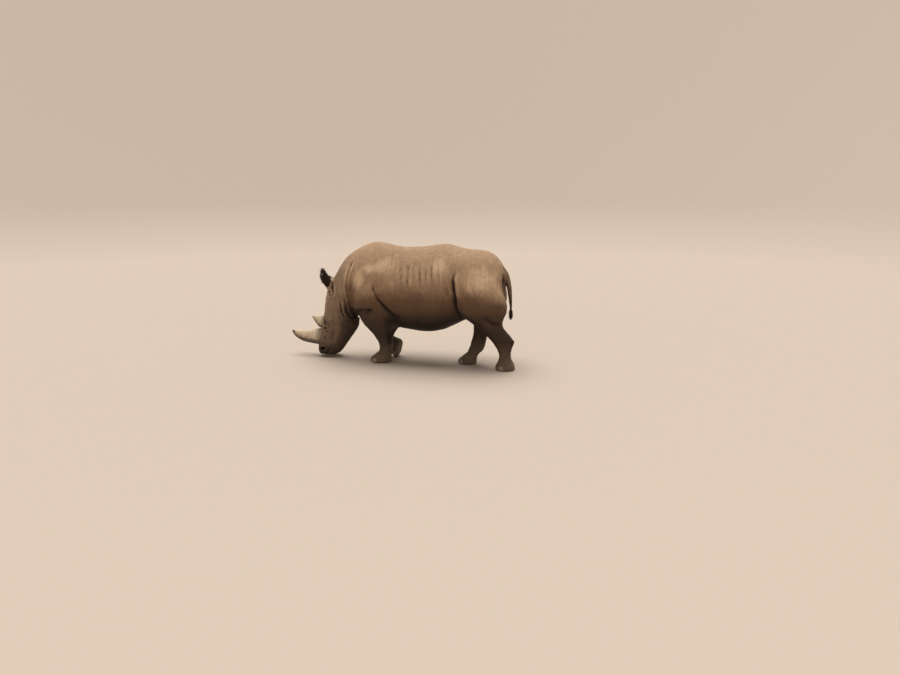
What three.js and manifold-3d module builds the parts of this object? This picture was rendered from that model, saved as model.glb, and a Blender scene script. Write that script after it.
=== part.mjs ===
// A life-size white rhinoceros, walking with its head low, as a still museum model.
//
// Millimetres, +Z up. The animal faces -Y, its left side is +X, and the floor is Z = 0.
// Inside this file a place on the body is told by three numbers: `ahead`, the distance in front of
// the left fore foot; `left`, the distance from the middle plane; and `up`, the height above the floor.
import * as THREE from "three";
import Module from "manifold-3d";
import { mergeVertices } from "three/addons/utils/BufferGeometryUtils.js";

const wasm = await Module();
wasm.setup();

// ---- Driving dimensions ---------------------------------------------------------------------
const MIDDLE_AHEAD = -233; // the `ahead` of the box's centre, which is the frame's origin
const GAP = 0.35; // between two neighbouring solids
const EYE = { radius: 20, ahead: 836, up: 524, sunk: 11 }; // sunk: its centre's depth in the head
const NOSTRIL = { ahead: 908, left: 152, up: 112, wide: 34, long: 26, high: 17, slant: 28 };
const EAR_LENGTH = 280;
const LEG_SQUARE = 2.3; // 2 makes a section an ellipse, and more makes it squarer
const FOOT_SQUARE = 2.15;
const NAIL = { depth: 9, foot: 5 }; // how far a toenail stands off the foot, and off the floor

// ---- Fineness: facets round a section, and rings along a loft -------------------------------
const SPINE_AROUND = 30;
const LIMB_AROUND = 14;
const FOOT = { around: 14, along: 7 };
const EAR_FACETS = { around: 12, along: 8 };
const TAIL_FACETS = { around: 8, along: 12 };
const TUFT_FACETS = { around: 8, along: 6 };
const HORN_RINGS = 11;
const RINGS_PER_LEG_STATION = 1.5;

// ---- Colours and finishes -------------------------------------------------------------------
const finish = (color, roughness) =>
  new THREE.MeshStandardMaterial({ color, roughness, metalness: 0 });
const hide = finish(0x8c755c, 0.85);
const horn_keratin = finish(0xa3917a, 0.6);
const nail_keratin = finish(0x5e5144, 0.65);
const eyeball = finish(0x140d08, 0.15);
const hair = finish(0x1d1714, 0.8);

// ---- Placing and joining --------------------------------------------------------------------
const at = (ahead, left, up) => new THREE.Vector3(left, MIDDLE_AHEAD - ahead, up);
const degrees = THREE.MathUtils.degToRad;

// A piece shaped about `ahead` 0, `left` 0 and `up` 0 is turned there by the turns given, the first
// one first, and then carried to its place.
function carry(turns, place) {
  const start = at(0, 0, 0);
  const home = new THREE.Matrix4().makeTranslation(-start.x, -start.y, -start.z);
  const frame = turns.reduce((whole, turn) => turn.multiply(whole), home);
  return new THREE.Matrix4().setPosition(place).multiply(frame);
}

const turnX = (angle) => new THREE.Matrix4().makeRotationX(degrees(angle));
const turnY = (angle) => new THREE.Matrix4().makeRotationY(degrees(angle));
const turnZ = (angle) => new THREE.Matrix4().makeRotationZ(degrees(angle));

function solidOf(geometry) {
  const bare = geometry.clone();
  bare.deleteAttribute("normal");
  bare.deleteAttribute("uv");
  const merged = mergeVertices(bare, 1e-3);
  return new wasm.Manifold(
    new wasm.Mesh({
      numProp: 3,
      vertProperties: merged.attributes.position.array,
      triVerts: new Uint32Array(merged.index.array),
    }),
  );
}

// The largest body of a solid: a cut against a curved neighbour can leave crumbs.
function largest(solid) {
  return solid.decompose().sort((a, b) => b.volume() - a.volume())[0];
}

function geometryOf(solid) {
  const mesh = solid.getMesh();
  const places = new Float32Array(mesh.numVert * 3);
  for (let i = 0; i < mesh.numVert; i++)
    places.set(
      mesh.vertProperties.subarray(i * mesh.numProp, i * mesh.numProp + 3),
      i * 3,
    );
  return new THREE.BufferGeometry()
    .setAttribute("position", new THREE.BufferAttribute(places, 3))
    .setIndex(new THREE.BufferAttribute(mesh.triVerts, 1));
}

// A closed skin over rings: a sphere's grid, whose poles become the middles of the two end rings.
// ringPoint(t, angle) is the place on the ring at t, from 0 to 1, and ringMiddle(t) its middle.
// grow lengthens both ends.
function skinOver(ringPoint, ringMiddle, around, along, grow = 0) {
  const nearby = 0.02;
  const push = (t) =>
    ringMiddle(t)
      .sub(ringMiddle(t === 0 ? nearby : 1 - nearby))
      .normalize()
      .multiplyScalar(grow);
  const ends = { 0: push(0), 1: push(1) };
  const geometry = new THREE.SphereGeometry(1, around, along);
  const place = geometry.attributes.position;
  for (let row = 0; row <= along; row++)
    for (let column = 0; column <= around; column++) {
      const t = THREE.MathUtils.clamp((row - 1) / (along - 2), 0, 1);
      const end = row === 0 || row === along;
      const angle = ((column % around) / around) * 2 * Math.PI;
      const p = end ? ringMiddle(t) : ringPoint(t, angle);
      if (ends[t]) p.add(ends[t]);
      place.setXYZ(row * (around + 1) + column, p.x, p.y, p.z);
    }
  return geometry;
}

// Smooth numbers through named stations: any list of keys, read at t from 0 to 1.
function through(stations, keys) {
  const threes = [];
  for (let k = 0; k < keys.length; k += 3) {
    const [a, b, c] = keys.slice(k, k + 3);
    const points = stations.map(
      (s) => new THREE.Vector3(s[a], b ? s[b] : 0, c ? s[c] : 0),
    );
    threes.push(new THREE.CatmullRomCurve3(points, false, "catmullrom", 0.5));
  }
  return (t) => {
    const read = {};
    threes.forEach((curve, i) => {
      const p = curve.getPoint(t);
      keys.slice(i * 3, i * 3 + 3).forEach((key, j) => {
        read[key] = p.getComponent(j);
      });
    });
    return read;
  };
}

const powered = (x, exponent) => Math.sign(x) * Math.abs(x) ** exponent;

// ---- Trunk, neck and head: one loft from the rump to the lips ---------------------------------
// A station is a section between a point of the upper outline and a point of the lower outline:
// [name, top, topAhead, bottom, bottomAhead, half, belt, ridge, keel].
// half: half its width; belt: where it is widest, as a share of the way from the lower point to the
// upper; ridge and keel: how square the upper and the lower part are, 2 being an ellipse.
const SPINE = [
  ["tail_base", 1300, -1730, 1070, -1736, 60, 0.5, 2.0, 2.0],
  ["anus", 1378, -1704, 930, -1722, 185, 0.5, 2.0, 2.0],
  ["pin_bones", 1452, -1652, 815, -1680, 280, 0.5, 2.0, 2.0],
  ["rump", 1540, -1560, 735, -1590, 356, 0.5, 2.0, 2.0],
  ["croup", 1590, -1430, 690, -1450, 392, 0.52, 2.0, 2.0],
  ["hips", 1596, -1250, 665, -1270, 404, 0.52, 2.1, 2.0],
  ["flank", 1625, -1080, 575, -1080, 430, 0.5, 2.0, 2.0],
  ["loin", 1668, -925, 492, -910, 454, 0.46, 1.9, 2.1],
  ["belly", 1650, -780, 458, -770, 472, 0.44, 1.9, 2.2],
  ["barrel", 1624, -610, 450, -600, 476, 0.44, 1.9, 2.2],
  ["ribs", 1613, -400, 466, -400, 460, 0.45, 1.9, 2.1],
  ["girth", 1626, -180, 492, -190, 432, 0.47, 1.9, 2.1],
  ["withers", 1672, 0, 520, -10, 410, 0.48, 1.8, 2.1],
  ["hump", 1676, 95, 545, 120, 396, 0.48, 1.8, 2.1],
  ["shoulder", 1645, 210, 575, 230, 376, 0.48, 1.8, 2.1],
  ["brisket", 1588, 330, 610, 330, 343, 0.48, 1.9, 2.1],
  ["neck_base", 1500, 485, 618, 368, 298, 0.48, 1.9, 2.1],
  ["neck", 1375, 600, 622, 396, 260, 0.48, 1.9, 2.1],
  ["nape", 1240, 685, 612, 412, 230, 0.48, 2.0, 2.1],
  ["crest", 1110, 770, 592, 414, 206, 0.5, 2.1, 2.1],
  ["poll", 975, 842, 562, 404, 194, 0.53, 2.2, 2.1],
  ["brow", 830, 872, 515, 390, 190, 0.58, 2.3, 2.2],
  ["cheek", 690, 888, 452, 402, 185, 0.64, 2.4, 2.3],
  ["eye_line", 555, 906, 375, 452, 171, 0.66, 2.5, 2.3],
  ["rear_horn", 455, 934, 300, 505, 146, 0.62, 2.5, 2.3],
  ["nose_bridge", 350, 968, 232, 553, 128, 0.56, 2.5, 2.3],
  ["front_horn", 245, 994, 172, 598, 129, 0.5, 2.6, 2.4],
  ["nostrils", 150, 1004, 118, 642, 143, 0.55, 2.8, 2.6],
  ["lips", 88, 998, 76, 680, 148, 0.58, 3.0, 2.8],
  ["lip_edge", 50, 966, 46, 712, 126, 0.58, 3.0, 2.8],
].map(([name, top, topAhead, bottom, bottomAhead, half, belt, ridge, keel]) => ({
  name,
  top,
  topAhead,
  bottom,
  bottomAhead,
  half,
  belt,
  ridge,
  keel,
}));
const SPINE_WIDEST = Math.max(...SPINE.map((station) => station.half));
const spineAt = through(SPINE, [
  "topAhead",
  "top",
  "half",
  "bottomAhead",
  "bottom",
  "belt",
  "ridge",
  "keel",
]);

// One part of the spine between two of its stations. grow makes it that much larger on every side,
// to cut a fitted seat in a neighbour; draw pulls in only its two ends.
function spineLoft(part, grow = 0, draw = 0) {
  const last = SPINE.length - 1;
  const along = (t) => spineAt(THREE.MathUtils.lerp(part.from, part.to, t) / last);
  const point = (t, angle) => {
    const s = along(t);
    const top = new THREE.Vector2(s.topAhead, s.top);
    const bottom = new THREE.Vector2(s.bottomAhead, s.bottom);
    const height = top.distanceTo(bottom);
    const rise = (height + 2 * grow) / height;
    const c = Math.cos(angle);
    const square = 2 / (c >= 0 ? s.ridge : s.keel);
    const reach = c >= 0 ? 1 - s.belt : s.belt;
    const climb = s.belt + reach * powered(c, square);
    const grown = 0.5 + (climb - 0.5) * rise;
    const spot = bottom.lerp(top, grown);
    const side = (s.half + grow) * powered(Math.sin(angle), square);
    return at(spot.x, side, spot.y);
  };
  const middle = (t) => {
    const s = along(t);
    return at((s.topAhead + s.bottomAhead) / 2, 0, (s.top + s.bottom) / 2);
  };
  return skinOver(point, middle, SPINE_AROUND, part.rings, grow - draw);
}

// ---- Limbs, tail and horns: lofts along a bent line -------------------------------------------
const DOWN = new THREE.Vector3(0, 0, -1);
const BACK = new THREE.Vector3(0, 1, 0);

// A station is a place on the line, with the half depths in front of and behind it and the half
// width to each side: [name, ahead, left, up, front, back, side].
// Sections stand square to the line, or to the fixed direction `facing` where it is given. The line
// runs down or back, so that `front` is the side that faces ahead or down.
function limbLoft(stations, options) {
  const { along, around = LIMB_AROUND, grow = 0, square = 2, facing } = options;
  const rows = stations.map(([name, ahead, left, up, front, back, side]) => ({
    name,
    ahead,
    left,
    up,
    front,
    back,
    side,
  }));
  const read = through(rows, ["ahead", "left", "up", "front", "back", "side"]);
  const middle = (t) => {
    const s = read(t);
    return at(s.ahead, s.left, s.up);
  };
  const point = (t, angle) => {
    const s = read(t);
    const nearby = 0.02;
    const onward = middle(Math.min(1, t + nearby)).sub(middle(Math.max(0, t - nearby)));
    const tangent = facing ?? onward.normalize();
    const side = new THREE.Vector3(1, 0, 0);
    side.addScaledVector(tangent, -side.dot(tangent)).normalize();
    const front = new THREE.Vector3().crossVectors(tangent, side);
    const c = powered(Math.cos(angle), 2 / square);
    const deep = (c >= 0 ? s.front : s.back) + grow;
    const wide = (s.side + grow) * powered(Math.sin(angle), 2 / square);
    return middle(t).addScaledVector(front, c * deep).addScaledVector(side, wide);
  };
  return skinOver(point, middle, around, along, grow);
}

const FORE_LEFT = [
  ["withers", 62, 240, 1190, 120, 120, 100],
  ["shoulder", 64, 272, 1050, 205, 200, 158],
  ["arm", 68, 282, 890, 245, 225, 154],
  ["elbow", 52, 280, 740, 275, 275, 140],
  ["forearm", 10, 258, 610, 250, 300, 126],
  ["elbow_fold", -18, 242, 530, 216, 296, 118],
  ["mid_forearm", -54, 222, 440, 160, 172, 106],
  ["knee", -80, 190, 315, 106, 106, 95],
  ["shin", -86, 168, 220, 92, 90, 85],
  ["pastern", -72, 156, 140, 100, 94, 90],
];
const FORE_RIGHT = [
  ["withers", 60, -240, 1190, 120, 120, 100],
  ["shoulder", 60, -272, 1050, 200, 195, 158],
  ["arm", 58, -280, 890, 225, 215, 152],
  ["elbow", 40, -276, 720, 220, 225, 136],
  ["forearm", 60, -250, 570, 165, 190, 118],
  ["mid_forearm", 84, -222, 440, 122, 140, 102],
  ["knee", 76, -200, 322, 106, 104, 94],
  ["shin", -2, -186, 222, 88, 92, 86],
  ["pastern", -72, -180, 160, 86, 88, 85],
];
const HIND_LEFT = [
  ["loin", -1440, 222, 1300, 160, 160, 115],
  ["croup", -1436, 264, 1100, 322, 296, 190],
  ["thigh", -1464, 270, 920, 346, 352, 190],
  ["buttock", -1488, 262, 790, 315, 328, 168],
  ["crease", -1520, 242, 670, 236, 232, 138],
  ["gaskin", -1584, 222, 560, 148, 186, 112],
  ["hock", -1716, 202, 420, 140, 188, 90],
  ["under_hock", -1752, 188, 320, 102, 130, 80],
  ["shank", -1776, 176, 215, 76, 80, 78],
  ["pastern", -1780, 170, 140, 80, 80, 84],
];
const HIND_RIGHT = [
  ["loin", -1420, -222, 1300, 160, 160, 115],
  ["croup", -1404, -264, 1100, 300, 276, 190],
  ["thigh", -1412, -268, 920, 315, 300, 190],
  ["buttock", -1408, -252, 790, 288, 276, 166],
  ["crease", -1392, -220, 670, 226, 222, 136],
  ["gaskin", -1380, -180, 560, 122, 152, 112],
  ["hock", -1366, -132, 420, 98, 112, 90],
  ["under_hock", -1342, -104, 320, 92, 114, 80],
  ["shank", -1310, -84, 215, 88, 130, 80],
  ["pastern", -1284, -72, 150, 90, 92, 84],
];

// ---- Feet -------------------------------------------------------------------------------------
// Told in the foot's own frame, with the sole on the floor and the toes ahead. The second number is
// the share of the foot's own `rake`, which sets its ankle ahead of its sole or behind it.
const FORE_FOOT = [
  ["ankle", 0.95, 0, 176, 50, 50, 48],
  ["pastern", 0.72, 0, 140, 110, 106, 96],
  ["crown", 0.28, 0, 92, 132, 124, 116],
  ["pad", 0, 0, 42, 150, 140, 130],
  ["sole_edge", 0, 0, 9, 148, 140, 128],
  ["sole", 0, 0, 0, 138, 130, 120],
];
const LIFTED_FOOT = [
  ["ankle", 0.95, 0, 176, 50, 50, 48],
  ["pastern", 0.72, 0, 140, 108, 96, 94],
  ["crown", 0.28, 0, 92, 130, 112, 114],
  ["pad", 0, 0, 42, 146, 120, 126],
  ["sole_edge", 0, 0, 9, 142, 112, 120],
  ["sole", 0, 0, 0, 130, 98, 108],
];
const HIND_FOOT = [
  ["ankle", 0.95, 0, 176, 50, 50, 46],
  ["pastern", 0.72, 0, 140, 96, 90, 90],
  ["crown", 0.3, 0, 92, 118, 106, 106],
  ["pad", 0, 0, 42, 138, 116, 118],
  ["sole_edge", 0, 0, 9, 136, 116, 116],
  ["sole", 0, 0, 0, 127, 107, 108],
];
const NAILS = [
  { name: "inner", turn: 56, half: 44, top: 70 },
  { name: "middle", turn: 0, half: 56, top: 82 },
  { name: "outer", turn: -56, half: 44, top: 70 },
];
const FEET = [
  {
    name: "fore_left",
    shape: FORE_FOOT,
    leg: FORE_LEFT,
    ahead: -6,
    left: 152,
    up: 0,
    rake: -78,
    tilt: 0,
    toe_out: 6,
    inner: -1,
  },
  {
    name: "fore_right",
    shape: LIFTED_FOOT,
    leg: FORE_RIGHT,
    ahead: -170,
    left: -172,
    up: 140,
    rake: -44,
    tilt: 76,
    toe_out: -3,
    inner: 1,
  },
  {
    name: "hind_left",
    shape: HIND_FOOT,
    leg: HIND_LEFT,
    ahead: -1796,
    left: 166,
    up: 0,
    rake: 20,
    tilt: 0,
    toe_out: 8,
    inner: -1,
  },
  {
    name: "hind_right",
    shape: HIND_FOOT,
    leg: HIND_RIGHT,
    ahead: -1214,
    left: -66,
    up: 0,
    rake: -76,
    tilt: 0,
    toe_out: -8,
    inner: 1,
  },
];

// The foot is tipped on to its toes by tilt and turned out by toe_out.
const footFrame = (foot) =>
  carry([turnX(foot.tilt), turnZ(foot.toe_out)], at(foot.ahead, foot.left, foot.up));

function footLoft(foot, grow = 0) {
  const options = { ...FOOT, grow, square: FOOT_SQUARE, facing: DOWN };
  const shape = foot.shape.map(([name, share, ...rest]) => [name, share * foot.rake, ...rest]);
  return limbLoft(shape, options).applyMatrix4(footFrame(foot));
}

// The arched block that a nail is cut from: it runs out of the foot in the nail's direction.
function nailBlock({ turn, half, top }, foot) {
  const arch = new THREE.Shape();
  arch.moveTo(-half, NAIL.foot);
  arch.lineTo(half, NAIL.foot);
  arch.bezierCurveTo(half * 0.95, top * 0.85, half * 0.5, top, 0, top);
  arch.bezierCurveTo(-half * 0.5, top, -half * 0.95, top * 0.85, -half, NAIL.foot);
  const reach = 200;
  const options = { depth: reach, bevelEnabled: false, curveSegments: 2 };
  const block = new THREE.ExtrudeGeometry(arch, options);
  block.rotateX(Math.PI / 2); // the arch stands up, and the block runs ahead
  block.rotateZ(degrees(turn * foot.inner));
  const toes = at(0, 0, 0);
  return block.translate(toes.x, toes.y, toes.z).applyMatrix4(footFrame(foot));
}

function nailsOf(foot) {
  const shell = solidOf(footLoft(foot, NAIL.depth)).subtract(solidOf(footLoft(foot, GAP)));
  return NAILS.map((nail) => ({
    name: `nail_${foot.name}_${nail.name}`,
    solid: largest(shell.intersect(solidOf(nailBlock(nail, foot)))),
  }));
}

// ---- Horns, ears, eyes, tail ------------------------------------------------------------------
const FRONT_HORN = [
  ["tip", 1445, 0, 346, 9, 9, 7],
  ["point", 1424, 0, 322, 32, 31, 15],
  ["bend", 1384, 0, 298, 51, 49, 25],
  ["slope", 1320, 0, 281, 71, 70, 37],
  ["shaft", 1250, 0, 271, 87, 86, 48],
  ["middle", 1160, 0, 269, 99, 99, 60],
  ["flare", 1080, 0, 272, 110, 112, 74],
  ["base", 1010, 0, 274, 124, 122, 86],
  ["root", 940, 0, 274, 130, 126, 92],
];
const REAR_HORN = [
  ["tip", 1112, 0, 565, 9, 9, 8],
  ["point", 1088, 0, 549, 31, 30, 21],
  ["shaft", 1050, 0, 527, 56, 56, 37],
  ["flare", 1008, 0, 505, 86, 84, 54],
  ["base", 960, 0, 496, 98, 98, 64],
  ["root", 890, 0, 490, 104, 102, 68],
];
// An ear stands upright about its own root, with its bowl open ahead. `up` is a share of its length.
const EAR = [
  ["tip", 0, 0, 1, 6, 8, 9],
  ["peak", 6, 0, 0.88, 24, 30, 46],
  ["brim", 8, 0, 0.7, 38, 44, 76],
  ["cup", 8, 0, 0.5, 44, 50, 77],
  ["throat", 6, 0, 0.32, 44, 50, 60],
  ["tube", 0, 0, 0.16, 42, 46, 46],
  ["root", 0, 0, 0, 44, 48, 46],
];
const EAR_BOWL = [
  ["tip", 34, 0, 1.04, 26, 30, 12],
  ["peak", 36, 0, 0.89, 42, 46, 37],
  ["brim", 38, 0, 0.71, 50, 50, 66],
  ["cup", 36, 0, 0.52, 50, 50, 66],
  ["throat", 32, 0, 0.36, 38, 38, 46],
  ["bottom", 24, 0, 0.24, 14, 14, 18],
];
const EARS = [
  { name: "ear_left", side: 1, ahead: 748, left: 128, up: 985, lean: 14, spread: 17, turn: 74 },
  { name: "ear_right", side: -1, ahead: 762, left: -128, up: 960, lean: 56, spread: 34, turn: 48 },
];
const TAIL = [
  ["root", -1630, 0, 1345, 60, 60, 62],
  ["dock", -1700, 0, 1310, 52, 52, 56],
  ["upper", -1758, 0, 1215, 38, 38, 44],
  ["middle", -1790, 0, 1080, 29, 29, 36],
  ["lower", -1808, 0, 930, 21, 21, 27],
  ["thin", -1816, 0, 800, 14, 14, 19],
  ["tip", -1816, 0, 715, 9, 9, 12],
];
const TUFT = [
  ["collar", -1816, 0, 775, 18, 18, 20],
  ["bush", -1817, 0, 730, 30, 29, 26],
  ["brush", -1816, 0, 685, 24, 24, 22],
  ["ends", -1814, 0, 642, 8, 8, 9],
];

// The bowl swings to the side by turn, and the whole ear spreads outwards and leans ahead.
function earSolid({ side, ahead, left, up, lean, spread, turn }) {
  const [shell, bowl] = [EAR, EAR_BOWL].map((rows) => {
    const life_size = rows.map(([name, a, l, share, ...sizes]) => {
      return [name, a, l, share * EAR_LENGTH, ...sizes];
    });
    return solidOf(limbLoft(life_size, EAR_FACETS));
  });
  const turns = [turnZ(turn * side), turnY(spread * side), turnX(lean)];
  return shell.subtract(bowl).transform(carry(turns, at(ahead, left, up)).elements);
}

// An eye's centre, as deep as it is sunk under the side of the head.
function eyeAt(side, head) {
  const skin = new THREE.Mesh(geometryOf(head));
  skin.material.side = THREE.DoubleSide;
  const inward = new THREE.Vector3(-side, 0, 0);
  const outside = at(EYE.ahead, side * SPINE_WIDEST, EYE.up);
  const [hit] = new THREE.Raycaster(outside, inward).intersectObject(skin);
  return hit.point.addScaledVector(inward, EYE.sunk);
}

function nostrilHollow(side) {
  const hollow = new THREE.SphereGeometry(1, 8, 6).scale(NOSTRIL.wide, NOSTRIL.long, NOSTRIL.high);
  const spot = at(NOSTRIL.ahead, side * NOSTRIL.left, NOSTRIL.up);
  return hollow.rotateX(degrees(NOSTRIL.slant)).translate(spot.x, spot.y, spot.z);
}

const ball = (radius, place) =>
  new THREE.SphereGeometry(radius, 10, 7).translate(place.x, place.y, place.z);

// ---- The animal -------------------------------------------------------------------------------
const TRUNK = { from: 0, to: 15.5, rings: 24 };
const NECK = { from: 15.5, to: 19.5, rings: 8 };
const HEAD = { from: 19.5, to: 29, rings: 20 };

const group = new THREE.Group();
function place(name, solid, material) {
  const mesh = new THREE.Mesh(geometryOf(solid), material);
  mesh.name = name;
  group.add(mesh);
}

const seats = [TRUNK, NECK, HEAD].map((part) => solidOf(spineLoft(part, GAP)));
const clearOfSpine = (solid) => seats.reduce((left, seat) => left.subtract(seat), solid);
const spinePart = (part) => solidOf(spineLoft(part, 0, GAP / 2));

const sides = { left: 1, right: -1 };
let head = spinePart(HEAD);
for (const [name, side] of Object.entries(sides)) {
  const centre = eyeAt(side, head);
  place(`eye_${name}`, solidOf(ball(EYE.radius, centre)), eyeball);
  head = head.subtract(solidOf(ball(EYE.radius + GAP, centre)));
  head = head.subtract(solidOf(nostrilHollow(side)));
}
place("head", largest(head), hide);
place("neck", spinePart(NECK), hide);
place("trunk", spinePart(TRUNK), hide);

const hornLoft = (stations, grow = 0) =>
  solidOf(limbLoft(stations, { along: HORN_RINGS, facing: BACK, grow }));
const rear = hornLoft(REAR_HORN).subtract(hornLoft(FRONT_HORN, GAP));
place("horn_front", largest(clearOfSpine(hornLoft(FRONT_HORN))), horn_keratin);
place("horn_rear", largest(clearOfSpine(rear)), horn_keratin);
for (const ear of EARS) place(ear.name, largest(clearOfSpine(earSolid(ear))), hide);

// What tips below the floor is taken off flat, as a toe's edge spreads on the ground.
const below = 100;
const wide = 6000;
const floor = solidOf(new THREE.BoxGeometry(wide, wide, below).translate(0, 0, -below / 2));
for (const foot of FEET) {
  const along = Math.round(foot.leg.length * RINGS_PER_LEG_STATION);
  const options = { along, square: LEG_SQUARE, facing: foot.tilt === 0 ? DOWN : undefined };
  const whole = solidOf(limbLoft(foot.leg, options));
  const leg = clearOfSpine(whole).subtract(solidOf(footLoft(foot, GAP)));
  place(`leg_${foot.name}`, largest(leg), hide);
  place(`foot_${foot.name}`, solidOf(footLoft(foot)).subtract(floor), hide);
  for (const nail of nailsOf(foot)) place(nail.name, nail.solid.subtract(floor), nail_keratin);
}

const tail = solidOf(limbLoft(TAIL, TAIL_FACETS));
const tailSeat = solidOf(limbLoft(TAIL, { ...TAIL_FACETS, grow: GAP }));
const tuft = solidOf(limbLoft(TUFT, TUFT_FACETS));
place("tail", largest(clearOfSpine(tail)), hide);
place("tail_tuft", largest(tuft.subtract(tailSeat)), hair);

export default group;
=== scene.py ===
import math
import random

import bmesh
import bpy
import numpy as np
from mathutils import Matrix, Vector, noise
from mathutils.bvhtree import BVHTree


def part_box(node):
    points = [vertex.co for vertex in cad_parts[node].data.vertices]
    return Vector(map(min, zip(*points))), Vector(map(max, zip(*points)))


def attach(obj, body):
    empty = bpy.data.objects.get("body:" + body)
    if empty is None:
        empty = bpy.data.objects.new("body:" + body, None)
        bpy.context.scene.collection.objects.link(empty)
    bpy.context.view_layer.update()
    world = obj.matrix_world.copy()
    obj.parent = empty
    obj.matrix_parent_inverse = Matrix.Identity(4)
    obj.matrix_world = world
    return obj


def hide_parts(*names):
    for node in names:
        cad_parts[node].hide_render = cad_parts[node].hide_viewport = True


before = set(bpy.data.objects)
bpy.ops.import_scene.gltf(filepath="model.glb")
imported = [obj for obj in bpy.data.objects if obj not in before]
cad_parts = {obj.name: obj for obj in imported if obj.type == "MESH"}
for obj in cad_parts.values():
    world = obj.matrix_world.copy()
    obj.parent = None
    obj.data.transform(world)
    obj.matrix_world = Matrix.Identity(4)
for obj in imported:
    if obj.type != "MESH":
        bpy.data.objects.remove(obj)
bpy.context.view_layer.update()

# ---- The body's own measures ----
# A place on the body is told in millimetres by `ahead`, the distance in front of the left fore foot,
# `left`, the distance from the middle plane, and `up`, the height above the floor.
MM = 0.001
MIDDLE_AHEAD = -233  # the `ahead` of the frame's origin


def at(ahead, left, up):
    return Vector((left, MIDDLE_AHEAD - ahead, up)) * MM


AHEAD, BEHIND = Vector((0, -1, 0)), Vector((0, 1, 0))
ABOVE, BELOW = Vector((0, 0, 1)), Vector((0, 0, -1))
SIDES = {"left": 1, "right": -1}

FLESH = [
    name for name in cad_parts
    if name.startswith(("head", "neck", "trunk", "leg_", "foot_", "ear_")) or name == "tail"
]
NAILS = [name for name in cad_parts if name.startswith("nail_")]

# ---- Fineness ----
SKIN_SQUARE = 6  # mm, the side of the skin's even squares while it is sculpted
SKIN_TRIANGLES = 168_000  # of the finished skin, before the eyelids are refined
HORN_SQUARE = 4
NAIL_SQUARE = 2.5
SMOOTHING = 1.6  # how far one pass moves a place towards the middle of its neighbours
WELD = 0.00001  # metres, within which two places are one


# ---- Meshes: joining, evening out and settling ----
def piece_of(name, shape):
    """A new object from a bmesh, which is used up."""
    mesh = bpy.data.meshes.new(name)
    shape.to_mesh(mesh)
    shape.free()
    piece = bpy.data.objects.new(name, mesh)
    bpy.context.scene.collection.objects.link(piece)
    return piece


def settle(piece):
    """Applies the piece's modifiers."""
    bpy.context.view_layer.update()
    seen = piece.evaluated_get(bpy.context.evaluated_depsgraph_get())
    old, piece.data = piece.data, bpy.data.meshes.new_from_object(seen)
    piece.modifiers.clear()
    bpy.data.meshes.remove(old)
    piece.data.name = piece.name
    piece.data.shade_smooth()


def evened(name, nodes, square, grow=0.0):
    """The named solids as one closed mesh of even squares, each grown so that neighbours meet."""
    whole = bmesh.new()
    for node in nodes:
        solid = bmesh.new()
        solid.from_mesh(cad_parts[node].data)
        bmesh.ops.remove_doubles(solid, verts=solid.verts, dist=WELD)
        solid.normal_update()
        for vertex in solid.verts:
            vertex.co += vertex.normal * grow * MM
        grown = bpy.data.meshes.new(node)
        solid.to_mesh(grown)
        solid.free()
        whole.from_mesh(grown)
        bpy.data.meshes.remove(grown)
    piece = piece_of(name, whole)
    squares = piece.modifiers.new("even_squares", "REMESH")
    squares.mode = "VOXEL"
    squares.voxel_size = square * MM
    settle(piece)
    return piece


def smooth_step(values, low, high):
    share = np.clip((values - low) / (high - low), 0, 1)
    return share * share * (3 - 2 * share)


def bell(values):
    return np.exp(-values * values)


def length_of(rows):
    return np.linalg.norm(rows, axis=1)


def places_of(mesh):
    flat = np.empty(len(mesh.vertices) * 3, np.float32)
    mesh.vertices.foreach_get("co", flat)
    return flat.reshape(-1, 3)


def weigh(piece, name, weights, levels=16):
    """Stores the weights, from 0 to 1, as a vertex group in even steps."""
    group = piece.vertex_groups.get(name)
    if group:
        piece.vertex_groups.remove(group)
    group = piece.vertex_groups.new(name=name)
    rounded = np.round(weights * levels).astype(int)
    for level in range(levels + 1):
        group.add(np.flatnonzero(rounded == level).tolist(), level / levels, "REPLACE")
    return group.name


def tree_of(piece):
    """A search tree of an object's surface."""
    bpy.context.view_layer.update()
    return BVHTree.FromObject(piece, bpy.context.evaluated_depsgraph_get())


def nearest(tree, places):
    """The closest place of a surface to each place, its normal there, and how far off it is."""
    found = [tree.find_nearest(place) for place in places.tolist()]
    surface, normals, _, far = zip(*found)
    return np.array(surface), np.array(normals), np.array(far)


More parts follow.
